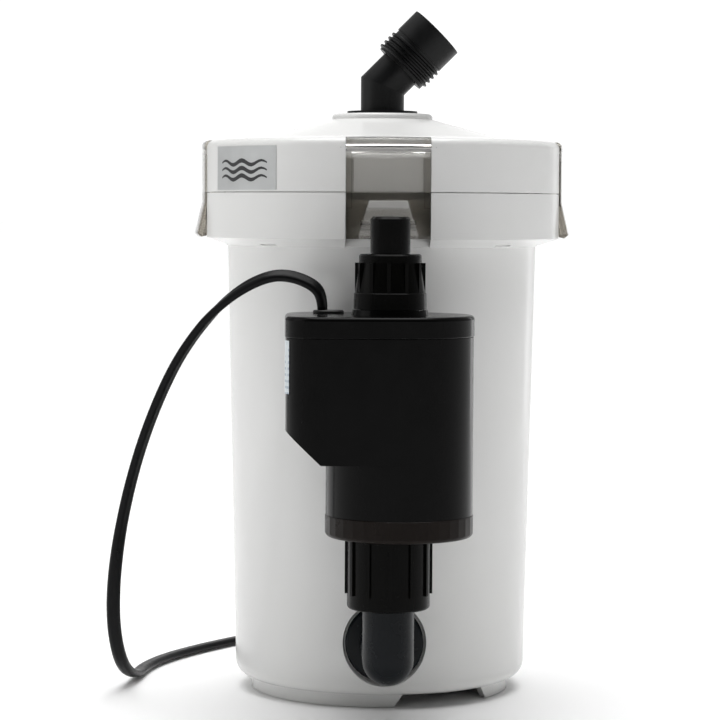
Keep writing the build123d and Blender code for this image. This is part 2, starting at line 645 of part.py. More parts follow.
with BuildPart() as rotor_magnet:
    with BuildSketch(Plane.XY.offset(115.0)):
        with Locations((0, PUMP_Y)):
            Circle(8.4)
            Circle(SHAFT + RUNNING_FIT, mode=Mode.SUBTRACT)
    extrude(amount=31.0)
    fillet(rotor_magnet.edges().filter_by(GeomType.CIRCLE).sort_by(SortBy.RADIUS)[-2:], radius=0.8)
rotor_magnet.part.label = "rotor_magnet"
export_step(rotor_magnet.part, "parts/rotor_magnet.step")

BLADES = 6
with BuildPart() as impeller:
    with BuildSketch(Plane.XY.offset(98.6)):
        with Locations((0, PUMP_Y)):
            Circle(18.5)
    extrude(amount=1.8)
    with BuildSketch(Plane.XY.offset(88.4)):
        with Locations((0, PUMP_Y)):
            Circle(4.6)
            with PolarLocations(11.0, BLADES):
                Rectangle(14.4, 1.6, rotation=24)
    extrude(amount=10.2)
    with BuildSketch(Plane.XY.offset(100.4)):
        with Locations((0, PUMP_Y)):
            Circle(5.0)
    extrude(amount=14.6)
    with BuildSketch(Plane.XY.offset(88.4)):
        with Locations((0, PUMP_Y)):
            Circle(SHAFT + RUNNING_FIT)
    extrude(amount=26.6, mode=Mode.SUBTRACT)
impeller.part.label = "impeller"
export_step(impeller.part, "parts/impeller.step")

# ------------------------------------------------------------------ impeller cover
RING_FLATS = 36
RING_RADIUS = 29.25                 # over the corners between the flats
STUB_THREAD = 14.6                  # threaded inlet stub, inside the lower union nut
STUB_LOW = 58.5
with BuildPart() as impeller_cover:
    with BuildSketch(Plane.XY.offset(COVER_LOW)):
        with Locations((PUMP_CENTRE_X, PUMP_Y)):
            Circle(RING_RADIUS)
    extrude(amount=COVER_TOP - COVER_LOW)
    fillet(impeller_cover.edges().group_by(Axis.Z)[0], radius=2.0)
    chamfer(impeller_cover.edges().group_by(Axis.Z)[-1], length=0.4)
    with BuildSketch(Plane.XY.offset(COVER_LOW)):
        with Locations((PUMP_CENTRE_X, PUMP_Y)):
            RegularPolygon(radius=RING_RADIUS, side_count=RING_FLATS)
    extrude(amount=COVER_TOP - COVER_LOW, mode=Mode.INTERSECT)
    with BuildSketch(Plane.XY.offset(STUB_LOW)):
        with Locations((0, PUMP_Y)):
            Circle(STUB_THREAD)
    extrude(amount=COVER_LOW - STUB_LOW)
    with BuildSketch(Plane.XY.offset(STUB_LOW)):
        with Locations((0, PUMP_Y)):
            Circle(9.0)
    extrude(amount=COVER_TOP - STUB_LOW, mode=Mode.SUBTRACT)
    # spider that holds the lower shaft bush in the inlet
    with BuildSketch(Plane.XY.offset(81.0)):
        with Locations((0, PUMP_Y)):
            Circle(5.4)
            with PolarLocations(0, 3):
                with Locations((5.0, 0)):
                    Rectangle(10.0, 1.8)
            Circle(4.0, mode=Mode.SUBTRACT)
    extrude(amount=COVER_TOP - 81.0)
    # groove for the cover seal
    with BuildSketch(Plane.XY.offset(COVER_TOP - 2.1)):
        with Locations((PUMP_CENTRE_X, PUMP_Y)):
            Circle(27.8)
            Circle(25.6, mode=Mode.SUBTRACT)
    extrude(amount=2.1, mode=Mode.SUBTRACT)
impeller_cover.part.label = "impeller_cover"
export_step(impeller_cover.part, "parts/impeller_cover.step")

with BuildPart() as cover_seal:
    with BuildSketch(Plane(origin=(PUMP_CENTRE_X, PUMP_Y, 0), x_dir=(1, 0, 0), z_dir=(0, -1, 0))):
        with Locations((26.7, COVER_TOP - 1.05)):
            Circle(1.0)
    revolve(axis=Axis((PUMP_CENTRE_X, PUMP_Y, 0), (0, 0, 1)))
cover_seal.part.label = "cover_seal"
export_step(cover_seal.part, "parts/cover_seal.step")

# ------------------------------------------------------------------ upper union and spigot
SPIGOT_RADIUS = 7.85
SPIGOT_BORE = 6.0
SPIGOT_FLANGE = (11.3, 178.2, 181.0)
SPIGOT_TOP = 202.5
SPIGOT_NECK = (7.6, 188.3)          # slightly slimmer inside the nut: radius, top
with BuildPart() as hose_spigot:
    with BuildSketch(Plane.XY.offset(SPIGOT_FLANGE[1])):
        with Locations((0, PUMP_Y)):
            Circle(SPIGOT_FLANGE[0])
    extrude(amount=SPIGOT_FLANGE[2] - SPIGOT_FLANGE[1])
    with BuildSketch(Plane.XY.offset(SPIGOT_FLANGE[2])):
        with Locations((0, PUMP_Y)):
            Circle(SPIGOT_NECK[0])
    extrude(amount=SPIGOT_NECK[1] - SPIGOT_FLANGE[2])
    with BuildSketch(Plane.XY.offset(SPIGOT_NECK[1])):
        with Locations((0, PUMP_Y)):
            Circle(SPIGOT_RADIUS)
    extrude(amount=SPIGOT_TOP - SPIGOT_NECK[1])
    chamfer(hose_spigot.edges().group_by(Axis.Z)[-1], length=1.0)
    with BuildSketch(Plane.XY.offset(SPIGOT_FLANGE[1])):
        with Locations((0, PUMP_Y)):
            Circle(SPIGOT_BORE)
    extrude(amount=SPIGOT_TOP - SPIGOT_FLANGE[1], mode=Mode.SUBTRACT)
hose_spigot.part.label = "hose_spigot"
export_step(hose_spigot.part, "parts/hose_spigot.step")

with BuildPart() as union_seal_upper:
    with BuildSketch(Plane.XY.offset(BOSS_THREAD[1])):
        with Locations((0, PUMP_Y)):
            Circle(SPIGOT_FLANGE[0])
            Circle(7.2, mode=Mode.SUBTRACT)
    extrude(amount=SPIGOT_FLANGE[1] - BOSS_THREAD[1])
union_seal_upper.part.label = "union_seal_upper"
export_step(union_seal_upper.part, "parts/union_seal_upper.step")

UPPER_NUT = [(14.4, 166.3), (14.2, 172.4), (13.9, 172.7), (12.35, 184.4), (12.25, 187.2),
             (11.7, 187.8)]         # outline from the bottom up: radius, height
with BuildPart() as union_nut_upper:
    with BuildSketch(Plane(origin=(0, PUMP_Y, 0), x_dir=(1, 0, 0), z_dir=(0, -1, 0))):
        with BuildLine():
            Polyline((0, UPPER_NUT[0][1]), *UPPER_NUT, (0, UPPER_NUT[-1][1]), close=True)
        make_face()
    revolve(axis=Axis((0, PUMP_Y, 0), (0, 0, 1)))
    with BuildSketch(Plane.XY.offset(173.0)):
        with Locations((0, PUMP_Y)):
            with PolarLocations(12.9, NUT_RIBS, start_angle=25.7):
                Rectangle(1.9, 1.5)
    extrude(amount=11.4)
    with BuildSketch(Plane.XY.offset(166.3)):
        with Locations((0, PUMP_Y)):
            Circle(BOSS_THREAD[0] + 0.3)
    extrude(amount=SPIGOT_FLANGE[2] + 0.3 - 166.3, mode=Mode.SUBTRACT)
    with BuildSketch(Plane.XY.offset(166.3)):
        with Locations((0, PUMP_Y)):
            Circle(SPIGOT_RADIUS + 0.35)
    extrude(amount=25.0, mode=Mode.SUBTRACT)
union_nut_upper.part.label = "union_nut_upper"
export_step(union_nut_upper.part, "parts/union_nut_upper.step")

# ------------------------------------------------------------------ lower union and inlet elbow
NUT_LOW = 48.0
NUT_TOP = 76.4
with BuildPart() as union_nut_lower:
    with BuildSketch(Plane.XY.offset(NUT_LOW)):
        with Locations((0, PUMP_Y)):
            Circle(16.4)
    extrude(amount=NUT_TOP - NUT_LOW)
    fillet(union_nut_lower.edges().group_by(Axis.Z)[0], radius=1.5)
    with BuildSketch(Plane.XY.offset(53.9)):
        with Locations((0, PUMP_Y)):
            with PolarLocations(16.2, NUT_RIBS):
                Rectangle(2.2, 1.5)
    extrude(amount=NUT_TOP - 53.9)
    with BuildSketch(Plane.XY.offset(54.0)):
        with Locations((0, PUMP_Y)):
            Circle(STUB_THREAD + 0.3)
    extrude(amount=NUT_TOP - 54.0, mode=Mode.SUBTRACT)
    with BuildSketch(Plane.XY.offset(NUT_LOW)):
        with Locations((0, PUMP_Y)):
            Circle(PIPE_RADIUS + 0.35)
    extrude(amount=10, mode=Mode.SUBTRACT)
union_nut_lower.part.label = "union_nut_lower"
export_step(union_nut_lower.part, "parts/union_nut_lower.step")

with BuildPart() as union_seal_lower:
    with BuildSketch(Plane.XY.offset(57.0)):
        with Locations((0, PUMP_Y)):
            Circle(STUB_THREAD - 0.1)
            Circle(9.2, mode=Mode.SUBTRACT)
    extrude(amount=STUB_LOW - 57.0)
union_seal_lower.part.label = "union_seal_lower"
export_step(union_seal_lower.part, "parts/union_seal_lower.step")

PIPE_END = -50.4                    # end of the elbow inside the port fitting
with BuildPart() as inlet_elbow:
    with BuildLine() as pipe_line:
        FilletPolyline((0, PUMP_Y, 57.0), (0, PUMP_Y, PORT_HEIGHT), (0, PIPE_END, PORT_HEIGHT),
                       radius=PIPE_BEND)
    with BuildSketch(Plane.XZ.offset(-PIPE_END)):
        with Locations((0, PORT_HEIGHT)):
            Circle(PIPE_RADIUS)
    extrude(amount=PIPE_END - PUMP_Y)
    # upright with a domed lower end
    with BuildSketch(Plane(origin=(0, PUMP_Y, 0), x_dir=(1, 0, 0), z_dir=(0, -1, 0))):
        with BuildLine():
            CenterArc((0, DOME_HEIGHT), UPRIGHT_RADIUS, -90, 90)
            Polyline((UPRIGHT_RADIUS, DOME_HEIGHT), (UPRIGHT_RADIUS, 57.0), (0, 57.0),
                     (0, DOME_HEIGHT - UPRIGHT_RADIUS))
        make_face()
    revolve(axis=Axis((0, PUMP_Y, 0), (0, 0, 1)))
    with BuildSketch(Plane.XY.offset(54.3)):
        with Locations((0, PUMP_Y)):
            Circle(STUB_THREAD - 0.1)
    extrude(amount=2.7)
    with BuildSketch(Plane.XY.offset(57.0)):
        with Locations((0, PUMP_Y)):
            Circle(PIPE_BORE)
    sweep(path=pipe_line.line, mode=Mode.SUBTRACT)
    # groove for the elbow's ring near its end
    with BuildSketch(Plane.XZ.offset(53.0)):
        with Locations((0, PORT_HEIGHT)):
            Circle(PIPE_RADIUS + 1)
            Circle(PIPE_RADIUS - 1.1, mode=Mode.SUBTRACT)
    extrude(amount=2.0, mode=Mode.SUBTRACT)
inlet_elbow.part.label = "inlet_elbow"
export_step(inlet_elbow.part, "parts/inlet_elbow.step")

with BuildPart() as elbow_ring:
    with BuildSketch(Plane.XZ.offset(53.1)):
        with Locations((0, PORT_HEIGHT)):
            Circle(PIPE_RADIUS + 0.1)
            Circle(PIPE_RADIUS - 1.1, mode=Mode.SUBTRACT)
    extrude(amount=1.8)
elbow_ring.part.label = "elbow_ring"
export_step(elbow_ring.part, "parts/elbow_ring.step")

# ------------------------------------------------------------------ port fitting
FITTING_THREAD = 12.9
with BuildPart() as port_fitting:
    with BuildSketch(Plane.XZ.offset(PORT_SEAT)):
        with Locations((0, PORT_HEIGHT)):
            Circle(16.1)
    extrude(amount=2.8)
    fillet(port_fitting.edges().sort_by(Axis.Y)[0], radius=1.2)
    with BuildSketch(Plane.XZ.offset(43.5)):
        with Locations((0, PORT_HEIGHT)):
            Circle(FITTING_THREAD)
    extrude(amount=PORT_SEAT - 43.5)
    with BuildSketch(Plane.XZ.offset(43.5)):
        with Locations((0, PORT_HEIGHT)):
            Circle(PIPE_BORE)
    extrude(amount=20, mode=Mode.SUBTRACT)
    with BuildSketch(Plane.XZ.offset(-PIPE_END - 0.2)):
        with Locations((0, PORT_HEIGHT)):
            Circle(PIPE_RADIUS + 0.15)
    extrude(amount=12, mode=Mode.SUBTRACT)
port_fitting.part.label = "port_fitting"
export_step(port_fitting.part, "parts/port_fitting.step")

with BuildPart() as port_gasket:
    with BuildSketch(Plane.XZ.offset(PORT_BACK - 1.5)):
        with Locations((0, PORT_HEIGHT)):
            Circle(17.4)
            Circle(FITTING_THREAD + 0.1, mode=Mode.SUBTRACT)
    extrude(amount=1.5)
port_gasket.part.label = "port_gasket"
export_step(port_gasket.part, "parts/port_gasket.step")

with BuildPart() as port_locknut:
    with BuildSketch(Plane.XZ.offset(45.0)):
        with Locations((0, PORT_HEIGHT)):
            RegularPolygon(radius=17.4, side_count=8)
            Circle(FITTING_THREAD + 0.05, mode=Mode.SUBTRACT)
    extrude(amount=PORT_BACK - 1.5 - 45.0)
port_locknut.part.label = "port_locknut"
export_step(port_locknut.part, "parts/port_locknut.step")

# ------------------------------------------------------------------ power cord
COIL_X, COIL_Y = COIL_CENTRE
CORD_ROUTE = [
    (-26.4, -84.0, GROMMET_TOP), (-26.4, -84.0, 169.4), (-29.0, -83.8, 174.8),
    (-38.5, -82.1, 178.8), (-47.8, -79.9, 178.7), (-59.8, -76.5, 172.8),
    (-71.8, -72.3, 162.2), (-83.4, -66.4, 146.5), (-92.1, -60.3, 129.0),
    (-99.8, -54.8, 109.0), (-105.8, -49.8, 88.0), (-110.3, -44.5, 66.0),
    (-112.8, -37.0, 45.0), (-113.0, -26.5, 26.0), (-110.5, -12.0, 9.5),
    (-106.0, 8.0, CORD_LIE), (-103.0, 33.0, CORD_LIE), (-94.5, 57.0, CORD_LIE),
    (-82.0, 79.0, CORD_LIE),
    (-68.5, 98.5, CORD_LIE), (-56.0, 114.0, CORD_LIE), (-44.0, 126.0, CORD_LIE),
]


def bend_radii(route):
    """Arc radius for each corner: 0.45 of the shorter run over the tangent of half the turn."""
    radii = []
    for before, corner, after in zip(route, route[1:], route[2:]):
        run_in = Vector(*corner) - Vector(*before)
        run_out = Vector(*after) - Vector(*corner)
        half_turn = radians(run_in.get_angle(run_out)) / 2
        radii.append(0.45 * min(run_in.length, run_out.length) / tan(half_turn))
    return radii


CORD_RADII = bend_radii(CORD_ROUTE)
with BuildPart() as power_cord:
    with BuildLine() as cord_line:
        FilletPolyline(*CORD_ROUTE, radius=CORD_RADII)
    with BuildSketch(Plane(origin=CORD_ROUTE[0],
                           z_dir=Vector(*CORD_ROUTE[1]) - Vector(*CORD_ROUTE[0]))):
        Circle(CORD / 2)
    sweep(path=cord_line.line)
power_cord.part.label = "power_cord"
export_step(power_cord.part, "parts/power_cord.step")
print("cord radii", [round(radius, 1) for radius in CORD_RADII])
TUBE_LENGTH = cord_line.wires()[0].length
print("cord tube length", round(TUBE_LENGTH, 1), "volume", round(power_cord.part.volume),
      "section times length", round(pi * CORD ** 2 / 4 * TUBE_LENGTH))

PLUG_LENGTH, PLUG_WIDTH, PLUG_DEPTH = PLUG_SIZE
PLUG_LOW = 2 * COIL_LAYER
PLUG_AXIS = PLUG_LOW + PLUG_DEPTH / 2
COIL_STEP = CORD / 2                # the upper layer lies in the grooves of the lower one
with BuildPart() as cord_coil:
    with BuildSketch(Plane(origin=(COIL_X, COIL_Y, 0), x_dir=(1, 0, 0), z_dir=(0, -1, 0))):
        with BuildLine():
            Polyline((COIL_TURNS[0], 0), (COIL_TURNS[1], 0), (COIL_TURNS[1], COIL_LAYER),
                     (COIL_TURNS[1] - COIL_STEP, COIL_LAYER),
                     (COIL_TURNS[1] - COIL_STEP, 2 * COIL_LAYER),
                     (COIL_TURNS[0] + COIL_STEP, 2 * COIL_LAYER),
                     (COIL_TURNS[0] + COIL_STEP, COIL_LAYER), (COIL_TURNS[0], COIL_LAYER),
                     close=True)
        make_face()
    revolve(axis=Axis((COIL_X, COIL_Y, 0), (0, 0, 1)))
    # the last stretch climbs from the coil to the plug that lies on it
    with BuildSketch(Plane.XZ.offset(-PLUG_Y)):
        with BuildLine():
            Polyline((-32, PLUG_LOW - 1), (-8, PLUG_LOW - 1), (PLUG_X, PLUG_AXIS - CORD / 2),
                     (PLUG_X, PLUG_AXIS + CORD / 2), (-32, PLUG_LOW + 1), close=True)
        make_face()
    extrude(amount=CORD / 2, both=True)
    # the first turn takes over from the cord's tube
    with BuildSketch(Plane(origin=CORD_ROUTE[-1],
                           z_dir=Vector(*CORD_ROUTE[-1]) - Vector(*CORD_ROUTE[-2]))):
        Circle(CORD / 2)
    extrude(amount=14.0)
cord_coil.part.label = "cord_coil"
export_step(cord_coil.part, "parts/cord_coil.step")

with BuildPart() as cord_tie:
    with BuildSketch(Plane(origin=(COIL_X, COIL_Y, 0), x_dir=(1, 0, 0), z_dir=(0, -1, 0))):
        with BuildLine():
            Polyline((COIL_TURNS[1], 0), (COIL_TURNS[1] + 0.8, 0),
                     (COIL_TURNS[1] + 0.8, COIL_LAYER + 0.8),
                     (COIL_TURNS[1] - COIL_STEP + 0.8, 2 * COIL_LAYER + 0.8),
                     (COIL_TURNS[0] + COIL_STEP - 0.8, 2 * COIL_LAYER + 0.8),
                     (COIL_TURNS[0] - 0.8, COIL_LAYER + 0.8), (COIL_TURNS[0] - 0.8, 0),
                     (COIL_TURNS[0], 0), (COIL_TURNS[0], COIL_LAYER),
                     (COIL_TURNS[0] + COIL_STEP, COIL_LAYER),
                     (COIL_TURNS[0] + COIL_STEP, 2 * COIL_LAYER),
                     (COIL_TURNS[1] - COIL_STEP, 2 * COIL_LAYER),
                     (COIL_TURNS[1] - COIL_STEP, COIL_LAYER), (COIL_TURNS[1], COIL_LAYER),
                     close=True)
        make_face()
    revolve(axis=Axis((COIL_X, COIL_Y, 0), (0, 0, 1)), revolution_arc=8)
cord_tie.part.label = "cord_tie"
export_step(cord_tie.part, "parts/cord_tie.step")

PIN_SPACING = 19.0
PIN_LENGTH = 19.0
PIN_RADIUS = 2.0
with BuildPart() as plug_body:
    with BuildSketch(Plane.XY.offset(PLUG_LOW)):
        with BuildLine():
            Polyline((PLUG_X, PLUG_Y - 5), (PLUG_X + 14, PLUG_Y - 7.5),
                     (PLUG_X + 26, PLUG_Y - PLUG_WIDTH / 2),
                     (PLUG_X + PLUG_LENGTH, PLUG_Y - PLUG_WIDTH / 2),
                     (PLUG_X + PLUG_LENGTH, PLUG_Y + PLUG_WIDTH / 2),
                     (PLUG_X + 26, PLUG_Y + PLUG_WIDTH / 2), (PLUG_X + 14, PLUG_Y + 7.5),
                     (PLUG_X, PLUG_Y + 5), close=True)
        make_face()
    extrude(amount=PLUG_DEPTH)
    fillet(plug_body.edges().filter_by(Axis.Z), radius=2.0)
    chamfer(plug_body.faces().sort_by(Axis.Z)[-1].edges(), length=1.2)
    chamfer(plug_body.faces().sort_by(Axis.Z)[0].edges(), length=1.2)
plug_body.part.label = "plug_body"
export_step(plug_body.part, "parts/plug_body.step")

with BuildPart() as plug_pins:
    with BuildSketch(Plane.YZ.offset(PLUG_X + PLUG_LENGTH)):
        for side in (-1, 1):
            with Locations((PLUG_Y + side * PIN_SPACING / 2, PLUG_AXIS)):
                Circle(PIN_RADIUS)
    extrude(amount=PIN_LENGTH)
    fillet(plug_pins.edges().group_by(Axis.X)[-1], radius=1.4)
plug_pins.part.label = "plug_pins"
export_step(plug_pins.part, "parts/plug_pins.step")
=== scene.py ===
"""Looks of an aquarium canister filter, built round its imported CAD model. Lengths in metres."""
import json
import math

import bmesh
import bpy
from mathutils import Matrix, Vector, noise


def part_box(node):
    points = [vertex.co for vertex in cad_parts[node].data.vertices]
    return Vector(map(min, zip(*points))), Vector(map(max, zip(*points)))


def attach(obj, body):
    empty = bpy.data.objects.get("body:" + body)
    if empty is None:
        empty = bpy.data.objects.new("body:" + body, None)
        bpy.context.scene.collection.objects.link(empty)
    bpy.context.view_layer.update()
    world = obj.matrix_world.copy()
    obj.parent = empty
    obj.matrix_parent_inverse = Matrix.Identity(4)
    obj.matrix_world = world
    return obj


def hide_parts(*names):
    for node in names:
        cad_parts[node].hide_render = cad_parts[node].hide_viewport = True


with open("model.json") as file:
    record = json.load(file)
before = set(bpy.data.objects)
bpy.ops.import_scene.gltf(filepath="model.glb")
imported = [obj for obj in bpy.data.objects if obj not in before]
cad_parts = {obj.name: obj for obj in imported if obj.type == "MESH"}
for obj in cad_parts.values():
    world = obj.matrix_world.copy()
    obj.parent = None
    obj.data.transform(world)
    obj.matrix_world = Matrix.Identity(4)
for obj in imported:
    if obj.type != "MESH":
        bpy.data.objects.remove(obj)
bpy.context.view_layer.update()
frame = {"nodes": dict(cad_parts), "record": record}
NODES = frame["nodes"]
SCENE = bpy.context.scene


# ------------------------------------------------------------------ camera
def make_camera():
    """A long lens a little over a metre in front of the canister, just above its lid's seam."""
    camera = bpy.data.objects.new("camera", bpy.data.cameras.new("camera"))
    camera.data.sensor_width = 36.0
    camera.data.lens = 132.2
    camera.data.clip_start = 0.05
    camera.data.clip_end = 50.0
    place = Matrix.Translation((-0.03968, -1.13631, 0.205))
    heading = Matrix.Rotation(math.radians(-1.545), 4, "Z")
    pitch = Matrix.Rotation(math.radians(90.0 - 3.247), 4, "X")
    roll = Matrix.Rotation(math.radians(0.3), 4, "Z")
    camera.matrix_world = place @ heading @ pitch @ roll
    SCENE.collection.objects.link(camera)
    SCENE.camera = camera


# ------------------------------------------------------------------ mesh helpers
def new_object(name, mesh, material, body):
    """A piece made from a mesh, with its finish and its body."""
    piece = bpy.data.objects.new(name, mesh)
    SCENE.collection.objects.link(piece)
    mesh.materials.append(material)
    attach(piece, body)
    return piece


def mesh_of(name, verts, faces, smooth=True):
    """A mesh from points and faces, with outward normals."""
    mesh = bpy.data.meshes.new(name)
    mesh.from_pydata([tuple(v) for v in verts], [], faces)
    work = bmesh.new()
    work.from_mesh(mesh)
    bmesh.ops.recalc_face_normals(work, faces=work.faces)
    work.to_mesh(mesh)
    work.free()
    for polygon in mesh.polygons:
        polygon.use_smooth = smooth
    return mesh


def ring_faces(rings, around, closed=False):
    """Quads between rings of points that all have the same number of points."""
    faces = []
    for i in range(rings if closed else rings - 1):
        a, b = i * around, (i + 1) % rings * around
        for k in range(around):
            n = (k + 1) % around
            faces.append((a + k, a + n, b + n, b + k))
    return faces


def swept(name, rings, closed=False):
    """A mesh skinned over rings of points, with flat ends unless it closes on itself."""
    around = len(rings[0])
    verts = [p for ring in rings for p in ring]
    faces = ring_faces(len(rings), around, closed)
    if not closed:
        faces.append(tuple(range(around)))
        faces.append(tuple(range((len(rings) - 1) * around, len(rings) * around)))
    return mesh_of(name, verts, faces)


def superellipse(half_wide, half_thick, power, count):
    """Points round a rounded section, as (sideways, up)."""
    points = []
    for k in range(count):
        angle = 2 * math.pi * k / count
        c, s = math.cos(angle), math.sin(angle)
        points.append((half_wide * math.copysign(abs(c) ** (2 / power), c),
                       half_thick * math.copysign(abs(s) ** (2 / power), s)))
    return points


# ------------------------------------------------------------------ material helpers
class Finish:
    """A Principled material that is built up from procedural layers in object space."""

    def __init__(self, name, colour, roughness, **sockets):
        self.material = bpy.data.materials.new(name)
        self.material.use_nodes = True
        self.tree = self.material.node_tree
        self.shader = self.tree.nodes["Principled BSDF"]
        self.shader.inputs["Base Color"].default_value = (*colour, 1.0)
        self.shader.inputs["Roughness"].default_value = roughness
        for socket, value in sockets.items():
            self.shader.inputs[socket.replace("_", " ")].default_value = value
        self.colour = colour
        self.roughness = roughness
        self.place = self.node("ShaderNodeTexCoord").outputs["Object"]
        self.normal = None

    def node(self, kind, **inputs):
        """A new node with its named inputs linked or set."""
        made = self.tree.nodes.new(kind)
        for socket, value in inputs.items():
            self.put(made.inputs[socket.replace("_", " ")], value)
        return made

    def put(self, socket, value):
        """Links a socket to another one, or sets it to a plain value."""
        if isinstance(value, bpy.types.NodeSocket):
            self.tree.links.new(value, socket)
        else:
            socket.default_value = value

    def stretched(self, scale):
        """Object coordinates scaled differently along each axis."""
        return self.node("ShaderNodeMapping", Vector=self.place, Scale=scale).outputs["Vector"]

    def noise(self, scale, detail=3.0, roughness=0.55, vector=None):
        """Soft noise from 0 to 1."""
        return self.node("ShaderNodeTexNoise", Vector=vector or self.place, Scale=scale,
                         Detail=detail, Roughness=roughness).outputs["Fac"]

    def cells(self, scale):
        """Distance to the nearest of many scattered points."""
        return self.node("ShaderNodeTexVoronoi", Vector=self.place, Scale=scale).outputs["Distance"]

    def spread(self, value, low, high, to_low, to_high):
        """The value's range from low to high, mapped to another range."""
        return self.node("ShaderNodeMapRange", Value=value, From_Min=low, From_Max=high,
                         To_Min=to_low, To_Max=to_high).outputs["Result"]

    def math(self, operation, first, second=0.0):
        """A sum, product or the like of two values."""
        made = self.node("ShaderNodeMath")
        made.operation = operation
        self.put(made.inputs[0], first)
        self.put(made.inputs[1], second)
        return made.outputs["Value"]

    def mix(self, factor, first, second):
        """A colour between two, which may be sockets or plain colours."""
        made = self.node("ShaderNodeMix")
        made.data_type = "RGBA"
        self.put(made.inputs["Factor"], factor)
        for socket, value in ((made.inputs[6], first), (made.inputs[7], second)):
            self.put(socket, value if isinstance(value, bpy.types.NodeSocket) else (*value, 1.0))
        return made.outputs[2]

    def mottle(self, scale, amount, tint=(1.0, 1.0, 1.0)):
        """Slow colour variation round the base colour."""
        factor = self.spread(self.noise(scale), 0.35, 0.65, 0.0, 1.0)
        dark = [c * (1 - amount) for c in self.colour]
        light = [min(1.0, c * (1 + amount) * t) for c, t in zip(self.colour, tint)]
        self.paint(self.mix(factor, dark, light))
        return self

    def paint(self, colour):
        self.put(self.shader.inputs["Base Color"], colour)
        return self

    def smudge(self, scale, amount):
        """Roughness that varies over the surface."""
        value = self.spread(self.noise(scale, 5.0, 0.6), 0.3, 0.7,
                            self.roughness - amount, self.roughness + amount)
        self.put(self.shader.inputs["Roughness"], value)
        return self

    def bump(self, height, depth, strength=1.0):
        """Relief of that depth in metres, on top of any relief so far."""
        made = self.node("ShaderNodeBump", Height=height, Distance=depth, Strength=strength)
        if self.normal is not None:
            self.tree.links.new(self.normal, made.inputs["Normal"])
        self.normal = made.outputs["Normal"]
        self.tree.links.new(self.normal, self.shader.inputs["Normal"])
        return self

    def grain(self, scale, depth, strength=0.5):
        """Fine moulded or cut texture."""
        return self.bump(self.noise(scale, 2.0), depth, strength)


def white_abs():
    finish = Finish("white_abs", (0.79, 0.79, 0.785), 0.24)
    finish.mottle(9.0, 0.006, (1.0, 1.0, 0.99)).smudge(30.0, 0.02)
    return finish.grain(2600.0, 0.000008, 0.3)


def black_abs(name, colour, roughness, shine, grain=1900.0, depth=0.00002):
    finish = Finish(name, colour, roughness, Specular_IOR_Level=shine)
    finish.mottle(60.0, 0.12).smudge(110.0, 0.05)
    return finish.grain(grain, depth, 0.5)


# where a clip's plastic and the light painted on it change: distances from its middle, and heights
FLANGE_EDGE = (0.0138, 0.0148)      # it darkens between these two, towards the flange
LID_SEAM = 0.2120                   # painted shade below the seam between lid and canister, for the dark recess behind the clip
PAINTED_LUG_LOW, PAINTED_LUG_TOP = 0.1942, 0.2090   # the painted light in the shape of the lit catch lug behind the clip, its half widths at its foot and top,
PAINTED_LUG_HALF_WIDTHS = (0.0124, 0.0080)
PAINTED_LUG_SHADE = (0.2050, 0.2062)        # and the heights of its painted shade, lighter above them
PAINTED_HIGHLIGHT_LOW = (0.2250, 0.2285)         # a painted highlight band at the top fades in between these
PAINTED_HIGHLIGHT_TOP = 0.2305


def smoked_clear_painted_light():
    """Smoky clear plastic, darker along the turned-in flanges, with painted shade below the seam, painted
    light in the shape of the lit lug behind it and a painted highlight band at the top.
    """
    finish = Finish("smoked_clear_painted_light", (0.95, 0.94, 0.92), 0.10, Transmission_Weight=1.0, IOR=1.42)
    finish.smudge(240.0, 0.02)
    parts = finish.node("ShaderNodeSeparateXYZ", Vector=finish.place)
    height = parts.outputs["Z"]
    across = finish.math("MINIMUM", finish.math("ABSOLUTE", parts.outputs["X"]),
                         finish.math("ABSOLUTE", parts.outputs["Y"]))
    flange = finish.spread(across, *FLANGE_EDGE, 0.0, 1.0)
    below = finish.spread(height, LID_SEAM, LID_SEAM - 0.0003, 0.0, 1.0)

    # painted light: a pale patch shaped like the lit catch lug behind the clip, darker on its lower part
    # as painted shade; it moves with the clip when the clip opens
    edge = finish.spread(height, PAINTED_LUG_LOW, PAINTED_LUG_TOP, *PAINTED_LUG_HALF_WIDTHS)
    inside = finish.spread(finish.math("SUBTRACT", edge, across), 0.0, 0.0006, 0.0, 1.0)
    under_top = finish.spread(height, PAINTED_LUG_TOP + 0.0001, PAINTED_LUG_TOP - 0.0002, 0.0, 1.0)
    painted_lug_light = finish.math("MULTIPLY", below, finish.math("MULTIPLY", inside, under_top))
    shade = finish.spread(height, *PAINTED_LUG_SHADE, 0.6, 1.0)

    # painted highlight: a pale band near the clip's top
    painted_highlight = finish.math("MULTIPLY", finish.spread(height, *PAINTED_HIGHLIGHT_LOW, 0.0, 0.8),
                       finish.spread(height, PAINTED_HIGHLIGHT_TOP, PAINTED_HIGHLIGHT_TOP - 0.0005, 0.0, 1.0))
    # pale holds all the painted light: the lit lug shape with its painted shade, and the painted highlight
    # band
    pale = finish.math("MAXIMUM", finish.math("MULTIPLY", painted_lug_light, shade), painted_highlight)
    tint = finish.mix(flange, (0.97, 0.96, 0.94), (0.90, 0.88, 0.84))
    # painted shade: below the seam the clip is tinted dark for the shadowed recess behind it
    tint = finish.mix(below, tint, (0.58, 0.55, 0.50))
    # where the painted light is, the colour is paler and less light passes through
    finish.paint(finish.mix(pale, tint, (0.97, 0.965, 0.95)))
    finish.put(finish.shader.inputs["Transmission Weight"], finish.spread(pale, 0.0, 1.0, 1.0, 0.66))
    smoke = finish.node("ShaderNodeVolumeAbsorption", Color=(0.56, 0.54, 0.50, 1.0), Density=45.0)
    output = finish.tree.nodes["Material Output"]
    finish.tree.links.new(smoke.outputs["Volume"], output.inputs["Volume"])
    return finish.bump(finish.noise(130.0, 1.0), 0.00003, 0.2)


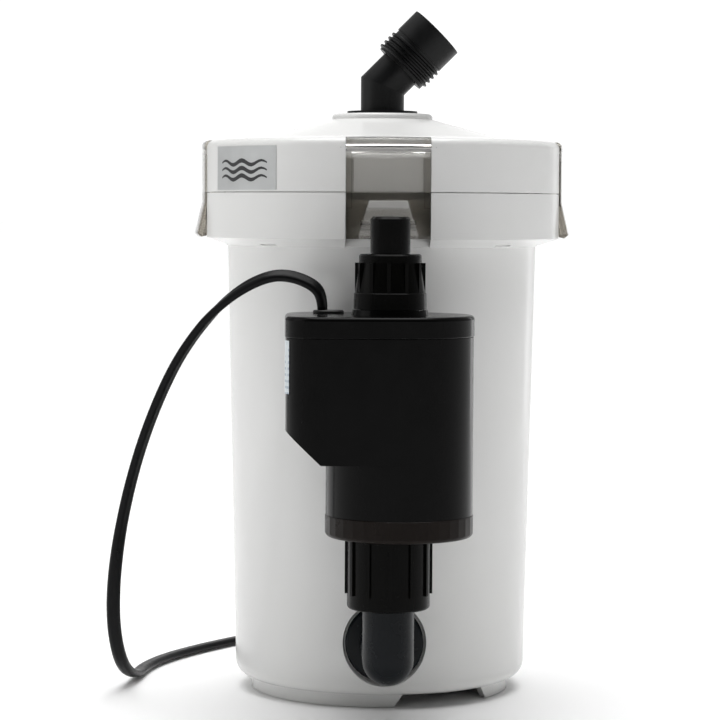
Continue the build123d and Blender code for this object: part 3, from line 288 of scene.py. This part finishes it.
def rubber(name, colour=(0.022, 0.022, 0.023), roughness=0.55, shine=0.35):
    finish = Finish(name, colour, roughness, Specular_IOR_Level=shine)
    finish.mottle(150.0, 0.15).smudge(420.0, 0.08)
    return finish.grain(3200.0, 0.000025, 0.6)


def brushed(name, colour, roughness, scale=(60.0, 60.0, 4000.0)):
    finish = Finish(name, colour, roughness, Metallic=1.0)
    lines = finish.noise(1.0, 3.0, 0.6, finish.stretched(scale))
    finish.mottle(120.0, 0.06)
    return finish.bump(lines, 0.00001, 0.5)


MATERIALS = {}


def use(name, finish):
    """Keeps a finish's material under its name, and gives it back."""
    MATERIALS[name] = finish.material
    return finish.material


def make_materials():
    """One procedural material for each kind of surface, by the builder's own names."""
    use("shell_white", white_abs())
    use("clip_smoke", smoked_clear_painted_light())
    use("pump_black", black_abs("pump_black", (0.0022, 0.0022, 0.0022), 0.15, 0.07))
    use("nut_black", black_abs("nut_black", (0.0020, 0.0020, 0.0018), 0.24, 0.06, 1500.0, 0.00003))
    use("cover_black", black_abs("cover_black", (0.0095, 0.0068, 0.0056), 0.30, 0.08, 1500.0, 0.00003))
    use("elbow_black", black_abs("elbow_black", (0.0036, 0.0038, 0.0040), 0.40, 0.22, 1300.0, 0.00005))
    use("pipe_black", black_abs("pipe_black", (0.0032, 0.0046, 0.0062), 0.24, 0.14, 1500.0, 0.00003))
    use("seal_rubber", rubber("seal_rubber"))
    use("grommet_rubber", rubber("grommet_rubber", (0.010, 0.010, 0.010), 0.45))
    use("cord_pvc", rubber("cord_pvc", (0.0035, 0.0035, 0.004), 0.34, 0.12))
    use("pin_steel", brushed("pin_steel", (0.60, 0.60, 0.61), 0.24))
    use("pin_nickel", brushed("pin_nickel", (0.72, 0.71, 0.68), 0.16, (4000.0, 60.0, 60.0)))

    grey = Finish("basket_grey", (0.055, 0.060, 0.066), 0.48, Specular_IOR_Level=0.4)
    grey.mottle(70.0, 0.12).smudge(160.0, 0.06)
    use("basket_grey", grey.grain(1500.0, 0.00004, 0.6))

    ceramic = Finish("ceramic", (0.76, 0.70, 0.60), 0.85)
    ceramic.mottle(260.0, 0.16, (1.0, 0.97, 0.9))
    pores = ceramic.cells(1400.0)
    use("ceramic", ceramic.bump(pores, 0.00022, 0.8).grain(4200.0, 0.00005, 0.5))

    plates = Finish("lamination", (0.30, 0.31, 0.33), 0.42, Metallic=0.9)
    plates.mottle(90.0, 0.15)
    stack = plates.node("ShaderNodeTexWave", Vector=plates.place, Scale=320.0)
    stack.bands_direction = "Z"
    use("lamination", plates.bump(stack.outputs["Fac"], 0.00012, 0.8))

    wire = Finish("winding", (0.50, 0.17, 0.06), 0.30, Metallic=0.9)
    wire.mottle(200.0, 0.14)
    turns = wire.node("ShaderNodeTexWave", Vector=wire.place, Scale=400.0)
    turns.bands_direction = "Z"
    use("winding", wire.bump(turns.outputs["Fac"], 0.0002, 0.9))

    magnet = Finish("ferrite", (0.035, 0.035, 0.037), 0.44, Metallic=0.3)
    magnet.mottle(240.0, 0.2).smudge(500.0, 0.08)
    use("ferrite", magnet.grain(2400.0, 0.00003, 0.6))

    acetal = Finish("acetal", (0.70, 0.71, 0.70), 0.40, Subsurface_Weight=0.1)
    acetal.mottle(80.0, 0.03).smudge(200.0, 0.05)
    use("acetal", acetal.grain(2000.0, 0.00002, 0.5))


NODE_FINISH = {
    "shell_white": ["canister_body", "lid"],
    "clip_smoke": ["clip_front", "clip_left", "clip_back", "clip_right"],
    "pump_black": ["pump_housing", "pump_cap", "hose_spigot"],
    "nut_black": ["union_nut_upper", "union_nut_lower"],
    "cover_black": ["impeller_cover"],
    "elbow_black": ["outlet_elbow", "elbow_retainer"],
    "pipe_black": ["inlet_elbow", "port_fitting", "port_locknut"],
    "seal_rubber": ["lid_seal", "elbow_seal", "cover_seal", "union_seal_upper",
                    "union_seal_lower", "elbow_ring", "port_gasket", "shaft_bush_top",
                    "shaft_bush_bottom"],
    "grommet_rubber": ["cord_grommet"],
    "pin_steel": ["clip_pins", "rotor_shaft"],
    "pin_nickel": ["plug_pins"],
    "basket_grey": ["bottom_grid", "basket_lower", "basket_upper"],
    "ceramic": ["ceramic_rings"],
    "lamination": ["stator_core"],
    "winding": ["stator_coil"],
    "ferrite": ["rotor_magnet"],
    "acetal": ["impeller"],
}


def dress_nodes():
    """Gives each CAD node that stays its procedural material."""
    for finish, names in NODE_FINISH.items():
        for name in names:
            materials = NODES[name].data.materials
            materials.clear()
            materials.append(MATERIALS[finish])


# ------------------------------------------------------------------ power cord
CORD_WIDTH = 0.0058
CORD_THICK = 0.0035
GROMMET_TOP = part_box("cord_grommet")[1].z
CORD_LIE = 0.0020                   # middle of the cord where it lies
SECTION_POINTS = 28
GROOVE_DEPTH = 0.13                 # share of the cord's half thickness
GROOVE_WIDTH = 0.0007
ARCH_LOW = 0.160                    # above this height the flat section turns on edge,
ARCH_ROLL = 0.015                   # over this much height
ROUTE = [
    (-0.0264, -0.0840, GROMMET_TOP), (-0.0264, -0.0840, 0.1694), (-0.0290, -0.0838, 0.1748),
    (-0.0385, -0.0821, 0.1788), (-0.0478, -0.0799, 0.1787), (-0.0598, -0.0765, 0.1728),
    (-0.0718, -0.0723, 0.1622), (-0.0834, -0.0664, 0.1465), (-0.0921, -0.0603, 0.1290),
    (-0.0998, -0.0548, 0.1090), (-0.1058, -0.0498, 0.0880), (-0.1103, -0.0445, 0.0660),
    (-0.1128, -0.0370, 0.0450), (-0.1130, -0.0265, 0.0260), (-0.1105, -0.0120, 0.0095),
    (-0.1060, 0.0080, CORD_LIE), (-0.1030, 0.0330, CORD_LIE), (-0.0945, 0.0570, CORD_LIE),
    (-0.0820, 0.0790, CORD_LIE), (-0.0685, 0.0985, CORD_LIE), (-0.0560, 0.1140, CORD_LIE),
    (-0.0440, 0.1260, CORD_LIE),
]
COIL_CENTRE = (0.0, 0.118)
COIL_LOW = 0.0020                   # middle of the coil's lower layer
COIL_HIGH = 0.0058                  # middle of its upper layer
COIL_OUTER = 0.0388                 # radius of its outermost turn
COIL_MIDDLE = COIL_OUTER - CORD_WIDTH
LOW_TURNS = 3
TURN_POINTS = 14
CORNER_CUT = 0.75 + 0.25 * math.cos(2 * math.pi / TURN_POINTS)
PLUG_LOW, PLUG_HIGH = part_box("plug_body")
PLUG_AXIS = (PLUG_LOW.z + PLUG_HIGH.z) / 2
PLUG_Y = (PLUG_LOW.y + PLUG_HIGH.y) / 2


def coil_point(turn, radius, height):
    """A control point of the coil, wound clockwise seen from above."""
    angle = math.radians(170.0) - 2 * math.pi * turn
    reach = radius / CORNER_CUT
    return (COIL_CENTRE[0] + reach * math.cos(angle), COIL_CENTRE[1] + reach * math.sin(angle),
            height)


def coil_points():
    """Three turns inward on the floor, then two outward on top of them, then the way to the plug."""
    steps = []
    for turn in range(LOW_TURNS):
        radius = COIL_OUTER - turn * CORD_WIDTH
        steps += [(radius, COIL_LOW)] * (TURN_POINTS - 1) + [(radius - CORD_WIDTH / 2, COIL_LOW)]
    inner = COIL_MIDDLE - CORD_WIDTH
    steps[-3:] = [(inner, 0.0031), (inner + 0.0002, 0.0047), (inner + 0.0014, 0.0056)]
    steps += [(COIL_MIDDLE - CORD_WIDTH / 2, COIL_HIGH)] * (TURN_POINTS - 1)
    steps += [(COIL_MIDDLE, COIL_HIGH)]
    steps += [(COIL_MIDDLE + CORD_WIDTH / 2, COIL_HIGH)] * (TURN_POINTS - 2)
    points = [coil_point((i + 1) / TURN_POINTS, radius, height)
              for i, (radius, height) in enumerate(steps)]
    return points + [
        (-0.0432, 0.1255, 0.0061), (-0.0410, 0.1365, 0.0070), (-0.0330, 0.1440, 0.0088),
        (-0.0225, 0.1474, 0.0116), (-0.0120, 0.1482, 0.0142), (-0.0040, PLUG_Y, 0.0158),
        (PLUG_LOW.x + 0.004, PLUG_Y, PLUG_AXIS),
    ]


def cord_line():
    """The cord's smooth centreline, as the points of its own NURBS spline."""
    curve = bpy.data.curves.new("cord_line", "CURVE")
    curve.dimensions = "3D"
    spline = curve.splines.new("NURBS")
    control = ROUTE + coil_points()
    spline.points.add(len(control) - 1)
    for point, place in zip(spline.points, control):
        point.co = (*place, 1.0)
    spline.order_u = 3
    spline.use_endpoint_u = True
    spline.resolution_u = 6
    holder = bpy.data.objects.new("cord_line", curve)
    mesh = bpy.data.meshes.new_from_object(holder)
    points = [v.co.copy() for v in mesh.vertices]
    bpy.data.objects.remove(holder)
    bpy.data.meshes.remove(mesh)
    bpy.data.curves.remove(curve)
    return points


def flat_twin_section():
    """Half-round sides, flat middle and the shallow groove between the two cores."""
    points = []
    for k in range(SECTION_POINTS):
        angle = 2 * math.pi * k / SECTION_POINTS
        c, s = math.cos(angle), math.sin(angle)
        side = CORD_WIDTH / 2 * math.copysign(abs(c) ** 0.85, c)
        up = CORD_THICK / 2 * math.copysign(abs(s) ** 0.75, s)
        groove = 1.0 - GROOVE_DEPTH * math.exp(-((side / GROOVE_WIDTH) ** 2))
        points.append((side, up * groove))
    return points


def make_cord():
    """The whole lead as one skin: its flat section stands on edge over the arch and lies flat below."""
    line = cord_line()
    section = flat_twin_section()
    rings = []
    for i, centre in enumerate(line):
        tangent = (line[min(i + 1, len(line) - 1)] - line[max(i - 1, 0)]).normalized()
        arch = max(0.0, min(1.0, (centre.z - ARCH_LOW) / ARCH_ROLL))
        side = tangent.cross(Vector((0, 0, 1))) + Vector((0.06, 0.16, 0.9 * arch))
        side = (side - tangent * side.dot(tangent)).normalized()
        up = side.cross(tangent)
        rings.append([centre + side * s + up * u for s, u in section])
    cord = new_object("power_lead", swept("power_lead", rings), MATERIALS["cord_pvc"],
                      "canister")
    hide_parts("power_cord", "cord_coil")
    return cord, line


TIE_WIDTH = 0.0056
TIE_THICK = 0.0007


def make_tie():
    """A soft wrap round the coil's turns, where the CAD tie is."""
    low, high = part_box("cord_tie")
    angle = math.atan2((low.y + high.y) / 2 - COIL_CENTRE[1], (low.x + high.x) / 2)
    out = Vector((math.cos(angle), math.sin(angle), 0))
    along = Vector((-out.y, out.x, 0))
    half_wide, half_high, middle_height = 0.0090, 0.0044, 0.0048
    loop = []
    for c, s in superellipse(1.0, 1.0, 2 / 0.45, 48):
        lean = 0.97 if s > 0.3 else 1.0
        loop.append((COIL_MIDDLE + half_wide * c * lean, middle_height + half_high * s))
    rings = []
    for k, (reach, height) in enumerate(loop):
        before, after = loop[k - 1], loop[(k + 1) % len(loop)]
        normal = Vector((after[1] - before[1], before[0] - after[0])).normalized()
        ring = []
        for across, depth in superellipse(TIE_WIDTH / 2, TIE_THICK / 2, 3.0, 12):
            spot = Vector((COIL_CENTRE[0], COIL_CENTRE[1], 0)) + out * (reach + normal.x * depth)
            ring.append(spot + Vector((0, 0, height + normal.y * depth)) + along * across)
        rings.append(ring)
    tie = new_object("lead_tie", swept("lead_tie", rings, closed=True),
                     use("tie_fabric", rubber("tie_fabric", (0.012, 0.012, 0.013), 0.75)),
                     "canister")
    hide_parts("cord_tie")
    return tie


# ------------------------------------------------------------------ mains plug
def make_plug():
    """A flat moulded plug with a ribbed, tapered tail and a rounded grip."""
    length = PLUG_HIGH.x - PLUG_LOW.x
    half_y = (PLUG_HIGH.y - PLUG_LOW.y) / 2
    half_z = (PLUG_HIGH.z - PLUG_LOW.z) / 2
    tail_share, tail_steps, rib_depth = 0.38, 18, 0.14
    # each station: share of the length, half width, half height, squareness
    stations = []
    for step in range(tail_steps + 1):
        t = step / tail_steps
        notch = 1 - rib_depth if step % 3 == 2 and step < 14 else 1.0
        stations.append((t * tail_share, (0.0042 + 0.0026 * t) * notch,
                         (0.0032 + 0.0018 * t) * notch, 2.2))
    # the grip's widths and heights are shares of the CAD plug's
    for t, wide, thick, power in ((0.40, 0.42, 0.80, 2.5), (0.44, 0.50, 0.86, 2.8),
                                  (0.50, 0.66, 0.93, 3.2), (0.57, 0.82, 0.97, 3.8),
                                  (0.64, 0.93, 0.99, 4.4), (0.70, 0.97, 0.99, 5.0),
                                  (0.76, 0.965, 0.985, 5.0), (0.82, 0.965, 0.985, 5.0),
                                  (0.88, 0.97, 0.99, 5.0), (0.93, 1.0, 1.0, 5.0),
                                  (0.975, 1.0, 1.0, 5.0), (0.992, 0.985, 0.97, 4.6),
                                  (1.0, 0.95, 0.92, 4.2)):
        stations.append((t, half_y * wide, half_z * thick, power))
    rings = []
    for t, wide, thick, power in stations:
        x = PLUG_LOW.x + length * t
        rings.append([Vector((x, PLUG_Y + y, PLUG_AXIS + z))
                      for y, z in superellipse(wide, thick, power, 48)])
    plug = new_object("mains_plug", swept("mains_plug", rings),
                      use("plug_pvc", rubber("plug_pvc", (0.010, 0.010, 0.011), 0.42)),
                      "canister")
    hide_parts("plug_body")
    return plug


def make_pin_sleeves():
    """Insulating sleeves on the first half of each plug pin, as one piece."""
    low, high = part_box("plug_pins")
    radius = (high.z - low.z) / 2
    centre_z = (low.z + high.z) / 2
    around = 32
    profile = [(0.0, radius * 0.99), (0.0, radius + 0.00025), (0.0092, radius + 0.00025),
               (0.0097, radius + 0.0001), (0.0097, radius * 0.99)]
    verts, faces = [], []
    for y in (low.y + radius, high.y - radius):
        start = len(verts)
        for along, reach in profile:
            for k in range(around):
                a = 2 * math.pi * k / around
                verts.append((low.x + along, y + reach * math.cos(a),
                              centre_z + reach * math.sin(a)))
        faces += [tuple(start + i for i in f) for f in ring_faces(len(profile), around, True)]
    return new_object("pin_sleeves", mesh_of("pin_sleeves", verts, faces),
                      MATERIALS["cord_pvc"], "canister")


# ------------------------------------------------------------------ filter media
PAD_POINTS = 168                    # round each ring of a pad
FLAT_SHARE = 0.985                  # share of the radius where a pad's rim starts to round
RIM_SHARE = 0.84                    # share of the half thickness where the rounding ends
PAD_GAP = 0.0004                    # room over and under a pad


def pad_profile():
    """Rings of a pad from the top's middle to the bottom's, as shares of radius and half thickness."""
    top = [(FLAT_SHARE * k / 26, 1.0) for k in range(1, 27)]
    for k in range(1, 8):
        a = math.pi / 2 * k / 7
        top.append((FLAT_SHARE + (1 - FLAT_SHARE) * math.sin(a),
                    1.0 - (1 - RIM_SHARE) * (1 - math.cos(a))))
    side = [(1.0, RIM_SHARE * (1 - k / 7)) for k in range(1, 14)]
    return top + side + [(x, -z) for x, z in reversed(top)]


def pad_faces(rows):
    """Faces of a pad: quads between its rings and a fan of triangles at each middle."""
    faces = [tuple(i + 1 for i in f) for f in ring_faces(rows, PAD_POINTS)]
    last_ring = 1 + (rows - 1) * PAD_POINTS
    bottom_point = rows * PAD_POINTS + 1
    for k in range(PAD_POINTS):
        n = (k + 1) % PAD_POINTS
        faces.append((0, 1 + k, 1 + n))
        faces.append((bottom_point, last_ring + n, last_ring + k))
    return faces


def foam_pad(name, node, material, cell, depth, crown, seed):
    """A round cut of foam: crowned faces, a slightly uneven edge and an open-cell surface."""
    low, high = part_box(node)
    radius = (high.x - low.x) / 2
    half = (high.z - low.z) / 2
    middle = (low.z + high.z) / 2
    offset = Vector((seed, seed * 0.37, seed * 1.9))
    profile = pad_profile()
    verts = [Vector((0, 0, middle + half - PAD_GAP))]
    for row, (reach, height) in enumerate(profile):
        inset = 0.0010 + 0.0006 * (1 - height * height) if reach > 0.9 else 0.0
        z = middle + height * (half - crown * reach * reach - PAD_GAP)
        for k in range(PAD_POINTS):
            a = 2 * math.pi * (k + 0.5 * (row % 2)) / PAD_POINTS
            spot = Vector((math.cos(a) * 2, math.sin(a) * 2, height)) + offset
            edge = 1.0 - 0.003 * (1 + noise.noise(spot))
            r = max(0.0, radius * reach * edge - inset)
            verts.append(Vector((r * math.cos(a), r * math.sin(a), z)))
    verts.append(Vector((0, 0, middle - half + PAD_GAP)))
    pitted = []
    for v in verts:
        inward = Vector((v.x, v.y, 0)).normalized()
        near_side = max(0.0, (math.hypot(v.x, v.y) / radius - 0.93) / 0.07)
        near_face = min(1.0, abs(v.z - middle) / half)
        direction = inward * near_side + Vector((0, 0, math.copysign(near_face ** 4, v.z - middle)))
        pit = noise.noise(v / cell + offset) * 0.6 + noise.noise(v / cell * 2.3 + offset) * 0.4
        pitted.append(v - direction * depth * max(0.0, 0.35 + pit))
    pad = new_object(name, mesh_of(name, pitted, pad_faces(len(profile))), material,
                     frame_body(node))
    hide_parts(node)
    return pad


def frame_body(node):
    """The body that a CAD node rides on."""
    for body, members in frame["record"]["behaviour"]["bodies"].items():
        if node in members:
            return body
    raise ValueError(node)


def make_media():
    """Coarse sponge, filter wool and open foam in the baskets."""
    blue = Finish("sponge_blue", (0.020, 0.135, 0.36), 0.9, Subsurface_Weight=0.1)
    holes = blue.cells(620.0)
    factor = blue.spread(holes, 0.15, 0.6, 1.0, 0.0)
    blue.paint(blue.mix(factor, (0.005, 0.04, 0.12), (0.035, 0.19, 0.46)))
    blue.bump(holes, 0.0011, 1.0)
    foam_pad("coarse_sponge", "sponge_coarse", use("sponge_blue", blue),
             0.0032, 0.0008, 0.0006, 3.1)
    wool = Finish("wool_white", (0.82, 0.83, 0.82), 0.95, Subsurface_Weight=0.2)
    strands = wool.noise(1.0, 6.0, 0.7, wool.stretched((900.0, 900.0, 260.0)))
    wool.paint(wool.mix(wool.spread(strands, 0.3, 0.7, 0.0, 1.0), (0.62, 0.64, 0.64),
                        (0.90, 0.91, 0.90)))
    wool.bump(strands, 0.0009, 0.8)
    foam_pad("filter_wool", "wool_fine", use("wool_white", wool),
             0.0055, 0.0009, 0.0014, 7.7)
    pad = Finish("pad_black", (0.018, 0.020, 0.022), 0.9)
    open_cells = pad.cells(420.0)
    pad.paint(pad.mix(pad.spread(open_cells, 0.15, 0.6, 1.0, 0.0), (0.004, 0.004, 0.005),
                      (0.040, 0.044, 0.048)))
    pad.bump(open_cells, 0.0015, 1.0)
    foam_pad("open_foam", "bio_pad", use("pad_black", pad),
             0.0042, 0.0009, 0.0005, 12.4)


# ------------------------------------------------------------------ labels
MARK_COLUMNS = 20
MARK_SINK = 0.00005                 # how far a mark reaches into its label


def wrap_on_drum(name, node, marks, depth, material, body):
    """Thin raised marks on a curved label, each a function that gives its edges as shares of the label."""
    low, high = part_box(node)
    corners = [v.co for v in NODES[node].data.vertices]
    radius = max(math.hypot(v.x, v.y) for v in corners)
    angles = [math.atan2(v.y, v.x) % (2 * math.pi) for v in corners]
    first, last = min(angles), max(angles)
    verts, faces = [], []
    for mark in marks:
        start = len(verts)
        for k in range(MARK_COLUMNS + 1):
            left, right, bottom, top = mark(k / MARK_COLUMNS)
            across = left + (right - left) * k / MARK_COLUMNS
            angle = first + (last - first) * across
            for reach in (radius - MARK_SINK, radius + depth):
                for share in (bottom, top):
                    verts.append((reach * math.cos(angle), reach * math.sin(angle),
                                  low.z + (high.z - low.z) * share))
        for k in range(MARK_COLUMNS):
            a, b = start + 4 * k, start + 4 * k + 4
            faces += [(a + 2, a + 3, b + 3, b + 2), (a + 1, a, b, b + 1),
                      (a + 3, a + 1, b + 1, b + 3), (a, a + 2, b + 2, b)]
        end = start + 4 * MARK_COLUMNS
        faces += [(start, start + 1, start + 3, start + 2), (end, end + 2, end + 3, end + 1)]
    return new_object(name, mesh_of(name, verts, faces, smooth=False), material, body)


def wave_mark(height, thickness, left=0.12, right=0.88, swing=0.05, waves=2.5):
    """A wavy bar across a label: a function from the share along it to its four edges."""
    def edges(t):
        centre = height + swing * math.sin(2 * math.pi * waves * t)
        taper = thickness * (0.35 + 0.65 * math.sin(math.pi * t))
        return left, right, centre - taper / 2, centre + taper / 2
    return edges


def make_labels():
    """Badge with a generic wave mark, and a sticker with broken bars in place of small print."""
    silver = Finish("badge_silver", (0.50, 0.51, 0.51), 0.40, Metallic=0.40)
    silver.mottle(90.0, 0.04)
    lines = silver.noise(1.0, 3.0, 0.6, silver.stretched((80.0, 80.0, 5200.0)))
    use("badge_silver", silver.bump(lines, 0.00001, 0.6))
    NODES["lid_label"].data.materials.clear()
    NODES["lid_label"].data.materials.append(MATERIALS["badge_silver"])
    ink = Finish("label_ink", (0.012, 0.012, 0.014), 0.42)
    ink.mottle(300.0, 0.2)
    use("label_ink", ink)
    marks = [wave_mark(height, 0.10) for height in (0.28, 0.45, 0.62)]
    wrap_on_drum("badge_waves", "lid_label", marks, 0.00006, MATERIALS["label_ink"],
                 "lid_group")

    film = Finish("sticker_white", (0.62, 0.66, 0.68), 0.34)
    film.mottle(140.0, 0.03)
    print_bars = film.node("ShaderNodeTexWave", Vector=film.place, Scale=130.0)
    print_bars.bands_direction = "Z"
    bars = film.spread(print_bars.outputs["Fac"], 0.62, 0.7, 0.0, 1.0)
    broken = film.spread(film.noise(1.0, 2.0, 0.5, film.stretched((260.0, 260.0, 60.0))),
                         0.45, 0.5, 0.0, 0.55)
    film.paint(film.mix(film.math("MULTIPLY", bars, broken), (0.60, 0.65, 0.68),
                        (0.16, 0.24, 0.34)))
    use("sticker_white", film)
    NODES["pump_label"].data.materials.clear()
    NODES["pump_label"].data.materials.append(MATERIALS["sticker_white"])


# ------------------------------------------------------------------ stage and light
def make_stage():
    """A pale floor that reaches past the view on all sides."""
    size = 40.0
    verts = [(-size, -size, 0), (size, -size, 0), (size, size, 0), (-size, size, 0)]
    mesh = bpy.data.meshes.new("floor")
    mesh.from_pydata(verts, [], [(0, 1, 2, 3)])
    floor = bpy.data.objects.new("floor", mesh)
    floor.location.z = -0.0002
    SCENE.collection.objects.link(floor)
    pale = Finish("floor_pale", (0.95, 0.95, 0.95), 0.8, Specular_IOR_Level=0.1)
    mesh.materials.append(pale.mottle(3.0, 0.006).material)


def softbox(name, place, target, size, power, colour=(1.0, 1.0, 1.0)):
    """A rectangular area light aimed at a point."""
    light = bpy.data.lights.new(name, "AREA")
    light.shape = "RECTANGLE"
    light.size, light.size_y = size
    light.energy = power
    light.color = colour
    lamp = bpy.data.objects.new(name, light)
    lamp.location = place
    lamp.rotation_mode = "QUATERNION"
    lamp.rotation_quaternion = (Vector(target) - Vector(place)).to_track_quat("-Z", "Y")
    SCENE.collection.objects.link(lamp)


def world_ramp(tree, value, span, strength, interpolation):
    """Strength that rises with a value over a span of it."""
    ramp = tree.nodes.new("ShaderNodeMapRange")
    ramp.interpolation_type = interpolation
    for socket, setting in zip(("From Min", "From Max", "To Min", "To Max"), span + strength):
        ramp.inputs[socket].default_value = setting
    tree.links.new(value, ramp.inputs["Value"])
    return ramp.outputs["Result"]


def make_world():
    """A pale studio: bright behind the object and overhead, dim on the camera's side."""
    world = bpy.data.worlds.new("studio")
    world.use_nodes = True
    tree = world.node_tree
    background = tree.nodes["Background"]
    background.inputs["Color"].default_value = (1.0, 1.0, 1.0, 1.0)
    direction = tree.nodes.new("ShaderNodeTexCoord")
    parts = tree.nodes.new("ShaderNodeSeparateXYZ")
    tree.links.new(direction.outputs["Generated"], parts.inputs["Vector"])
    total = tree.nodes.new("ShaderNodeMath")
    studio = world_ramp(tree, parts.outputs["Y"], (-0.95, 0.35), (0.04, 0.40), "SMOOTHSTEP")
    backdrop = world_ramp(tree, parts.outputs["Y"], (0.90, 0.96), (0.0, 0.70), "LINEAR")
    tree.links.new(studio, total.inputs[0])
    tree.links.new(backdrop, total.inputs[1])
    tree.links.new(total.outputs["Value"], background.inputs["Strength"])
    SCENE.world = world


def make_lights():
    """Soft light from the left, from above and from a strip behind on the right, and a broad sun."""
    middle = (0.0, -0.02, 0.15)
    softbox("key_left", (-1.3, -0.20, 0.75), middle, (0.9, 1.1), 3.0, (1.0, 1.0, 0.985))
    softbox("top", (0.0, 0.35, 1.4), middle, (1.4, 0.9), 4.5)
    softbox("strip_right", (0.80, 1.02, 0.20), (0.0, -0.10, 0.15), (0.16, 1.0), 0.6)
    sun = bpy.data.lights.new("overhead", "SUN")
    sun.energy = 2.5
    sun.angle = math.radians(55.0)
    lamp = bpy.data.objects.new("overhead", sun)
    SCENE.collection.objects.link(lamp)


make_camera()
make_materials()
dress_nodes()
lead, lead_line = make_cord()
make_tie()
plug = make_plug()
sleeves = make_pin_sleeves()
make_media()
make_labels()
make_stage()
make_world()
make_lights()
SCENE.view_settings.view_transform = "Standard"
